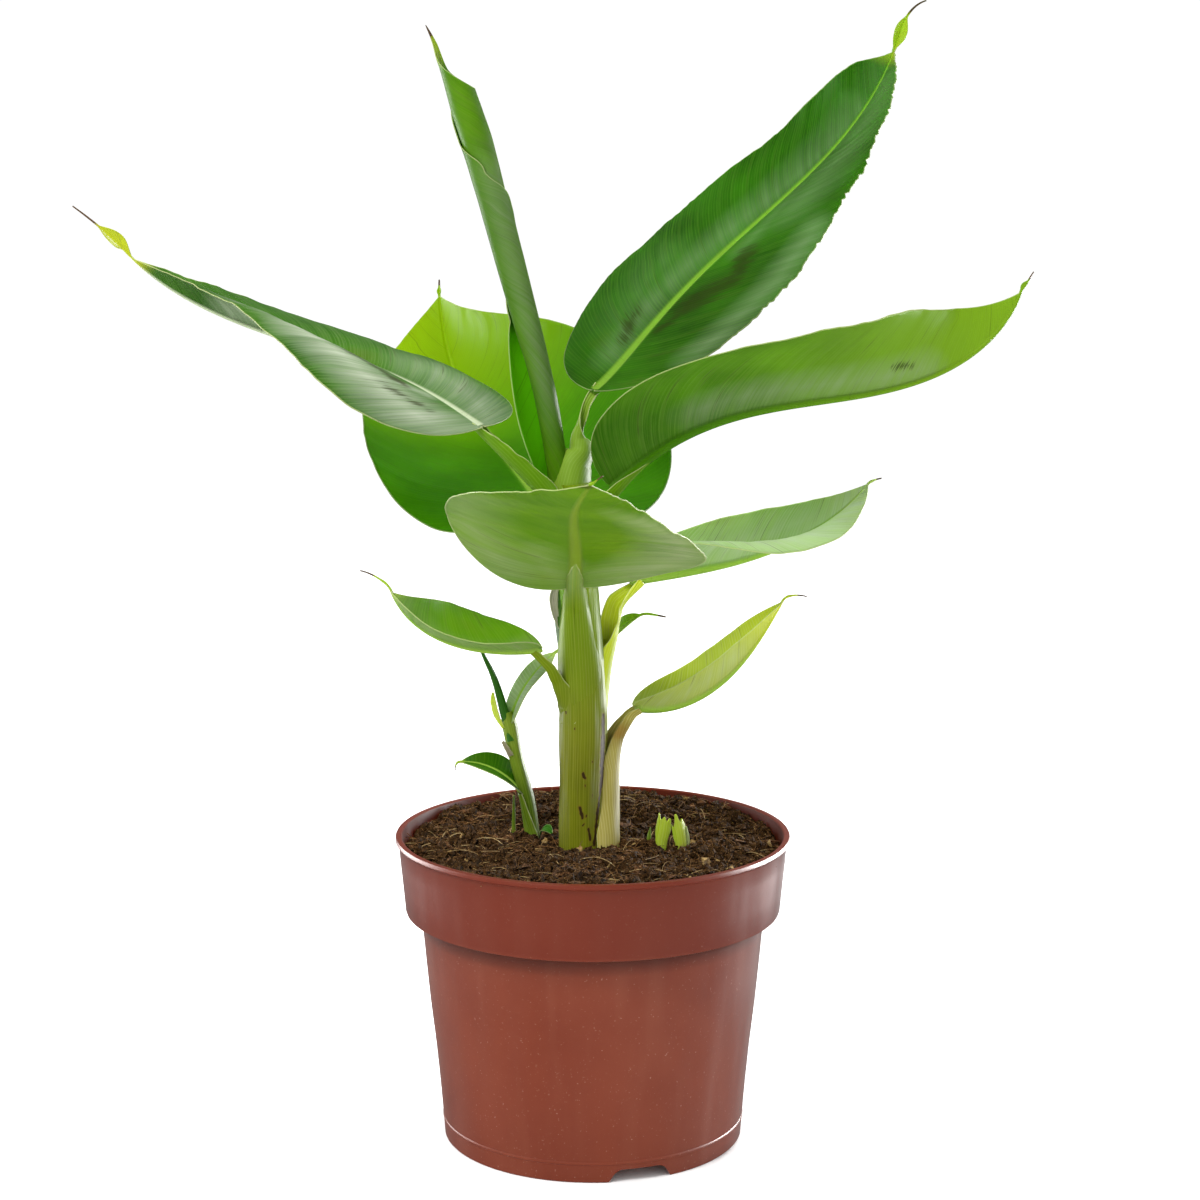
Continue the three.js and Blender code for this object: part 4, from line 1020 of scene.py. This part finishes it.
bark = tissue("fibrous sheath skin", "#545c04 #6c740a #989434 #6c8810", (80, 0.6), vein_mm=1.5, rough=0.42,
              glow=0.05, glow_tint="#c8dc50", relief=0.35, lines=0.38, withered="#34240e")
stem = limb("pseudostem", STEM_LINE, STEM_RADII, rows=240, columns=160, ridge=0.5, dry=scabbed,
            edge=pale_strip)
finished(stem, "stem", bark)
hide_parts("stem")

# The lower right leaf's own sheath stands against the stem's right side, drying from its foot.
OUTER_LINE = [(5.5, -1.4, -6), (5.9, -0.9, 6), (6.9, 1.6, 22), (7.4, 2.8, 40), (9.4, 2.8, 51),
              (12.4, 2.6, 59), (16.4, 2.2, 66), (20, 1.8, 71.5)]
OUTER_RADII = [9, 8.6, 7.4, 7, 5.8, 4.6, 4.2, 4.2, 3.8]
OUTER_SPREAD = [172, 172, 170, 168, 160, 140, 120, 105, 95]
OUTER_TURN = [60, 60, 60, 60, 50, 30, 12, 0, 0]


def split(height, v):
    """Darkened on the sheath's left, where it comes out of the split in the stem."""
    return 0.5 * eased(height, 48, 62) * (1 - eased(height, 64, 72)) * eased(v, 0.1, 0.5)


straw = tissue("drying outer sheath", "#8c8434 #ada252 #d0c684 #b0a848", (70, 0.7), vein_mm=1.5, rough=0.5,
               glow=0.05, glow_tint="#d8d080", edge_mm=0.3, lines=0.45, withered="#8a5a1c")
base, ahead, _, up = midrib(LEAVES["right_lower"])[0]
outer = channel("outer_sheath_wrap", OUTER_LINE + [tuple(base + ahead)], OUTER_RADII, OUTER_SPREAD,
                OUTER_TURN, up, 120, 48, 1.6, dry=split, seed=4.0)
finished(outer, "stem", straw, pith, wing)
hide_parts("outer_sheath")

# ---------------------------------------------------------------- sucker and cut shoot
# A young side shoot beside the stem with its rolled spike, and the torn stump of one that was cut,
# whose hollow sheaths lean together. Buds and bracts stand at their feet.
SUCKER = [(-31.7, 16.8, -6), (-35.5, 13, 22), (-41, 9, 45), (-44, 7.5, 62), (-46, 8, 70)]
SPIKE = [(-43.4, 5.6, 55), (-47.2, 7, 71), (-52.2, 8, 88), (-57.3, 8, 99.6), (-60.4, 8, 106.4)]
young_skin = tissue("waxy shoot skin", "#526f0c #728c20 #a4b450 #90a42c", FIBRE_GRAIN, vein_mm=1.4,
                    glow=0.12, glow_tint="#b8d840", rough=0.4, lines=0.25)
spike_skin = tissue("rolled spike, waxy", "#1c4808 #2c6410 #5c8c3c #2c6410", FIBRE_GRAIN, vein_mm=1.4,
                    glow=0.1, rough=0.4, lines=0.2)
lime = tissue("torn shoot, fresh", "#b0c424 #d0dc4c #ecf09c #d0dc4c", FIBRE_GRAIN, vein_mm=1.2, glow=0.35,
              glow_tint="#e8f860", edge_mm=0.3, lines=0.3)
dull, paper = (tissue(name, greens, (8, 0.7), vein_mm=1.2, glow=0.2, lines=0.3) for name, greens in (
    ("dried sheath margin", "#74745a #94947a #b4b49c #94947a"),
    ("dry bract", "#6c6850 #8c8468 #b0a888 #8c8468")))
BUDS = {
    # name: line, radii, finish
    "sucker_bud": ([(-43, 22, -2), (-42.8, 22, 10), (-42.6, 22, 21)], [1.1, 1.0, 0.5], young_skin),
    "shoot_bud_left": ([(29.6, -1, -3), (30, -1, 4), (30.6, -1, 9)], [1.3, 1.2, 0.4], young_skin),
    "shoot_bud_right": ([(50.8, 0, -3), (50.4, 0, 4), (49.8, 0, 9.5)], [1.5, 1.2, 0.4], wing),
}
TORN = {
    # name: line, radii, spread of the arc, way its back faces
    "cut_shoot_left": ([(36.2, -2, -6), (36.4, -2, 1), (37.4, -2, 8), (38.8, -2, 18)],
                       [2.6, 3.0, 3.7, 3.8], [120, 110, 95, 80], (0.2, -1, 0)),
    "cut_shoot_right": ([(47.6, -1, -6), (47.0, -1, 1), (45.6, -1, 8), (43.6, -1, 17)],
                        [2.5, 2.9, 3.5, 3.3], [130, 110, 90, 75], (0.5, -0.9, 0)),
}


def ribbon(name, points, halves, facing, curl=0.0, rows=40, columns=8):
    """A thin strip along a line, half as wide as each of halves, its face turned to facing."""
    stations = framed(smooth_line(points, rows), Vector(facing))

    def place(x, v):
        at, left, up, spot, _ = stations[round(x * rows)]
        half = stepped(halves, spot)
        lift = curl * v * v * half + 0.25 * noise.noise(Vector((at.z / 2.5, 2 * v, at.x)))
        return {"at": at + left * (v * half) + up * lift, "uv": (x * 0.03, v * half * MM), "wall": 0.45,
                "edge": 0.4 + half * (1 - abs(v))}

    return sheet(name, rows, columns, place, 0.45)


sucker = limb("sucker_stem_limb", SUCKER, [4.2, 4.1, 3.7, 4.1, 3.2], rows=60, columns=32, ridge=0.2, seed=3)
finished(sucker, "petiole", young_skin)
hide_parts("sucker_stem")
spike = limb("sucker_spike_limb", SPIKE, [2.2, 2.5, 1.8, 1.1, 0.35], rows=60, columns=24, ridge=0.2, seed=5)
finished(spike, "leaf", spike_skin)
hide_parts("sucker_spike")
for name, (points, radii, spread, facing) in TORN.items():
    torn = channel(name + "_sheath", points, radii, spread, [0] * len(points), -Vector(facing), 90, 30, 0.8,
                   wing=0.35, wavy=10, seed=len(name), torn=0.3)
    finished(torn, "stem", lime, lime, wing)
    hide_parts(name)
for name, (points, radii, finish) in BUDS.items():
    bud = limb(name, points, radii, rows=24, columns=16, ridge=0.15, seed=len(name))
    finished(bud, "stem", finish)
LOW_LINE = [(-30.4, 14.6, -5), (-31.4, 14, 3), (-34.6, 11.4, 14), (-38.2, 9.2, 26)]
low_sheath = channel("sucker_low_sheath", LOW_LINE, [3.5, 3.4, 3.0, 2.2], [120, 115, 105, 95], [0] * 4,
                     midrib(LEAVES["sucker_low"])[0][3], 60, 24, 1.0, wavy=5, seed=2.0)
finished(low_sheath, "petiole", young_skin, pith, wing)
STRIPS = {
    # name: line, half widths, way it faces, curl, finish
    "sucker_bract_lime": ([(-47.5, 4.4, 62), (-51, 5, 69), (-52.8, 6, 76), (-53, 7, 81)],
                          [0.5, 1.4, 1.5, 0.3], (-0.3, -1, 0), 0.4, lime),
    "sucker_bract_dry": ([(-43.4, 4.6, 47), (-45.6, 4.2, 51), (-48, 4.4, 55)],
                         [1.4, 1.3, 0.8], (-0.4, -1, 0.2), 0.3, paper),
    "seedling_leaf": ([(-29, 9, 1), (-27, 7, 6), (-24.4, 5, 7), (-22, 3, 5)],
                      [0.6, 2.6, 3.0, 0.5], (0, -0.5, 1), 0.2, spike_skin),
    "dried_margin": ([(-18.0, -3, 142), (-20.4, -3.4, 134), (-19.4, -4, 125), (-16.8, -4.6, 117)],
                     [1.2, 2.0, 1.6, 0.6], (-0.2, -1, 0.1), 0.5, dull),
}
for name, (points, halves, facing, curl, finish) in STRIPS.items():
    finished(ribbon(name, points, halves, facing, curl), "petiole", finish, finish, wing)

# ---------------------------------------------------------------- rolled leaf
# The youngest leaf, still wound round itself like a paper roll, open at its slanting mouth. Its free
# edge winds down once round the roll and stands off its left side as a loose flap.
ROLL_LINE = [(-15.5, 1, 180), (-22.7, 1, 228), (-28.5, 1.5, 255), (-33.9, 1.5, 275), (-43, 2, 309),
             (-52, 2, 343), (-58.9, 2, 368), (-64.6, 2, 385), (-73.5, 2, 412), (-84, 2, 428)]
ROLL_RADII = [6.0, 6.5, 6.7, 7.5, 8, 8.2, 8.6, 8.4, 7, 3]
TAIL_TURN = 300        # how far round from the free edge the drawn-out tip stands
TAIL_HALF_TURN = 24
TAIL_REACH = 0.14
MOUTH_HALVINGS = 18    # steps in finding where the roll meets the plane of its mouth
ROLL_STEPS = 400
ROLL_TURNS = 2.3
ROLL_PITCH = 0.85      # mm from one turn to the next
ROLL_WALL = 0.45
ROLL_LENGTH = 240
ROLL_GRAIN = (1.1, 50)
MOUTH_AT = Vector((-58.5, 2, 395))
MOUTH_SLOPE = math.tan(math.radians(30))
# where the free edge lies: height, and its angle seen from above (180 left, 270 front, 360 right)
EDGE_PATH = [(180, 566), (200, 562), (240, 556), (279, 540), (310, 450), (336, 360), (355, 270), (375, 180),
             (400, 120), (430, 60)]
FLAP_HEIGHTS = (186, 280)
FLAP_REACH = 10.5
FLAP_TURN = 80          # degrees of the roll, from its free edge, that the flap takes
LIP_REACH = 0.5         # above and below the flap the edge only stands off a little
LIP_TURN = 40
# wax and painted sheen lie heaviest on the side of the roll given next
WAX_AND_SHEEN_FACES = 320       # degrees: the side of the roll with most wax on it
# heights between which the wax and its painted sheen set in and end, and the roll turns yellow and brown
WAX_AND_SHEEN_FROM, WAX_AND_SHEEN_TO, ROLL_YOUNG, ROLL_DRIED = (205, 250), (345, 375), (405, 418), (421, 425)


def edge_angle(height):
    """Where the free edge lies at a height."""
    for (low, at_low), (high, at_high) in zip(EDGE_PATH, EDGE_PATH[1:]):
        if height <= high:
            break
    return at_low + (at_high - at_low) * eased(height, low, high)


def rolled_leaf():
    """The roll as one sheet: along it x, and v from its free edge to its inmost end."""
    stations = smooth_line(ROLL_LINE, ROLL_STEPS)
    across = Vector((0, 1, 0))

    def surface(share, v):
        """Point at a share of the line and at v: 0 at the free edge, 1 at the inmost end."""
        index = min(int(share * ROLL_STEPS), ROLL_STEPS - 1)
        at = stations[index][0].lerp(stations[index + 1][0], share * ROLL_STEPS - index)
        ahead, spot = stations[index][1], stations[index][2]
        side = across.cross(ahead).normalized()
        front = ahead.cross(side)
        offset = ROLL_TURNS * 360 * v
        angle = math.radians(edge_angle(at.z) - offset)
        radius = stepped(ROLL_RADII, spot) - ROLL_PITCH * offset / 360
        low, high = FLAP_HEIGHTS
        if low < at.z < high and offset < FLAP_TURN:
            lift = math.sin(math.pi * (at.z - low) / (high - low)) ** 0.8
            radius += FLAP_REACH * lift * (1 - offset / FLAP_TURN) ** 1.6
        elif offset < LIP_TURN:
            radius += LIP_REACH * (1 - offset / LIP_TURN) ** 2
        round_line = side * (radius * math.cos(angle)) + front * (radius * math.sin(angle))
        return at + round_line, at.z, offset, radius

    tops = {}

    def place(x, v):
        v = (v + 1) / 2
        key = round(v * 1000)
        if key not in tops:
            low, high = 0.5, 1.0
            for _ in range(MOUTH_HALVINGS):
                middle = (low + high) / 2
                point = surface(middle, v)[0]
                above = point.z + (point.x - MOUTH_AT.x) * MOUTH_SLOPE - MOUTH_AT.z
                low, high = (middle, high) if above < 0 else (low, middle)
            tops[key] = low
        round_mouth = (ROLL_TURNS * 360 * v - TAIL_TURN) / TAIL_HALF_TURN
        top = min(tops[key] + TAIL_REACH * math.exp(-abs(round_mouth) ** 1.4), 1.0)
        share = x * top
        point, height, offset, radius = surface(share, v)
        # wax over the middle of the roll, painted heavier on the side facing the light as painted sheen
        turned = math.radians(edge_angle(height) - offset - WAX_AND_SHEEN_FACES)
        wax_and_sheen_share = 0.45 * eased(height, *WAX_AND_SHEEN_FROM) * (1 - eased(height, *WAX_AND_SHEEN_TO))
        wax_and_sheen_share *= 0.2 + 0.8 * eased(math.cos(turned), -0.2, 0.9)
        # the flap is painted a brighter green for light shining through it from behind, and is free of wax
        # and painted sheen
        painted_backlight_on_flap = 0.6 * (1 - eased(offset, 50, 85))
        painted_backlight_on_flap *= 1 - eased(height, FLAP_HEIGHTS[1] - 10, FLAP_HEIGHTS[1])
        if height < FLAP_HEIGHTS[1]:
            wax_and_sheen_share *= eased(offset, 60, 120)
        return {
            "at": point, "uv": ((height - 0.25 * offset) * MM, math.radians(offset) * radius * MM),
            "wall": ROLL_WALL, "edge": min(math.radians(offset) * radius, (1 - x) * ROLL_LENGTH),
            "dry": eased(height, *ROLL_DRIED), "young": eased(height, *ROLL_YOUNG), "rib": painted_backlight_on_flap,
            "bloom_and_sheen": wax_and_sheen_share,
        }

    return sheet("rolled_leaf_wound", 220, 150, place, ROLL_WALL)


roll = rolled_leaf()
# the outside's bright green rib colour paints the flap's backlight
roll_out = tissue("rolled blade, outside", "#3e7000 #568a04 #80a43c #98b020", ROLL_GRAIN, glow=0.35,
                  glow_tint="#90e000", rough=0.45, lines=0.1, wax_and_sheen="#8a9c74", rib="#60b808")
roll_in = tissue("rolled blade, inside", "#58b004 #78cc14 #b0e050 #98b020", ROLL_GRAIN, glow=0.55,
                 glow_tint="#a8ff10")
finished(roll, "leaf", roll_out, roll_in, margin)
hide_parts("leaf_rolled", "leaf_rolled_margin")

# ---------------------------------------------------------------- studio
# A pale floor under broad, soft lights, and the camera level with the leaves, looking slightly down.
FLOOR_SIZE = 8.0
CAMERA_AWAY = 1.3646
CAMERA_HEIGHT = 0.52335
LOOKS_DOWN = 9.695      # degrees
AIM = Vector((0, 0, 0.35))      # where all lamps point


def studio():
    """The floor, the white room and its soft lights."""
    start_clean()
    bpy.ops.mesh.primitive_plane_add(size=FLOOR_SIZE)
    floor = bpy.context.object
    floor.name = "floor"
    material, tree, output = new_material("matt white paper")
    grain = node(tree, "TexNoise", {"Vector": node(tree, "TexCoord").outputs["Object"], "Scale": 40})
    shade = coated(tree, "#fdfdfd", [(grain.outputs["Fac"], 0.3, 0.7, 0, 1, "#ffffff")])
    shader = node(tree, "BsdfPrincipled",
                  {"Base Color": shade, "Roughness": 0.9, "Specular IOR Level": 0.0})
    tree.links.new(shader.outputs[0], output.inputs["Surface"])
    floor.data.materials.append(material)
    floor.visible_glossy = False
    world = bpy.data.worlds.new("studio")
    bpy.context.scene.world = world
    world.use_nodes = True
    world.node_tree.nodes["Background"].inputs["Color"].default_value = linear("#ffffff")
    # the room is mirrored dimmer than it lights, as black flags round the table would have it
    mirrored = node(world.node_tree, "LightPath").outputs["Is Glossy Ray"]
    strength = node(world.node_tree, "MapRange", {0: mirrored, 1: 0, 2: 1, 3: 1.04, 4: 0.25}).outputs[0]
    world.node_tree.links.new(strength, world.node_tree.nodes["Background"].inputs["Strength"])
    lights = {
        # name: position, size, watts, lights the surfaces, shows in their gloss
        "key": ((-0.8, -0.9, 1.6), 0.6, 24, True, True),
        "back": ((0.35, 1.2, 1.5), 0.8, 42, True, False),
        "strip_left": ((-0.9, 0.45, 0.3), 0.7, 24, False, True),
        "strip_right": ((0.9, 0.45, 0.3), 0.7, 85, False, True),
    }
    for name, (spot, size, watts, lit, shown) in lights.items():
        light = bpy.data.lights.new(name, "AREA")
        light.energy, light.size = watts, size
        lamp = bpy.data.objects.new(name, light)
        lamp.visible_camera, lamp.visible_diffuse, lamp.visible_glossy = False, lit, shown
        lamp.visible_transmission = lit
        lamp.location = spot
        lamp.rotation_euler = (AIM - Vector(spot)).to_track_quat("-Z", "Y").to_euler()
        bpy.context.collection.objects.link(lamp)


studio()
camera = bpy.data.objects.new("camera", bpy.data.cameras.new("camera"))
camera.data.lens = 79.1
camera.data.sensor_width = 36
camera.data.shift_x = 0.006
camera.location = (0, -CAMERA_AWAY, CAMERA_HEIGHT)
camera.rotation_euler = (math.radians(90 - LOOKS_DOWN), 0, 0)
bpy.context.collection.objects.link(camera)
bpy.context.scene.camera = camera
bpy.context.scene.view_settings.view_transform = "Standard"
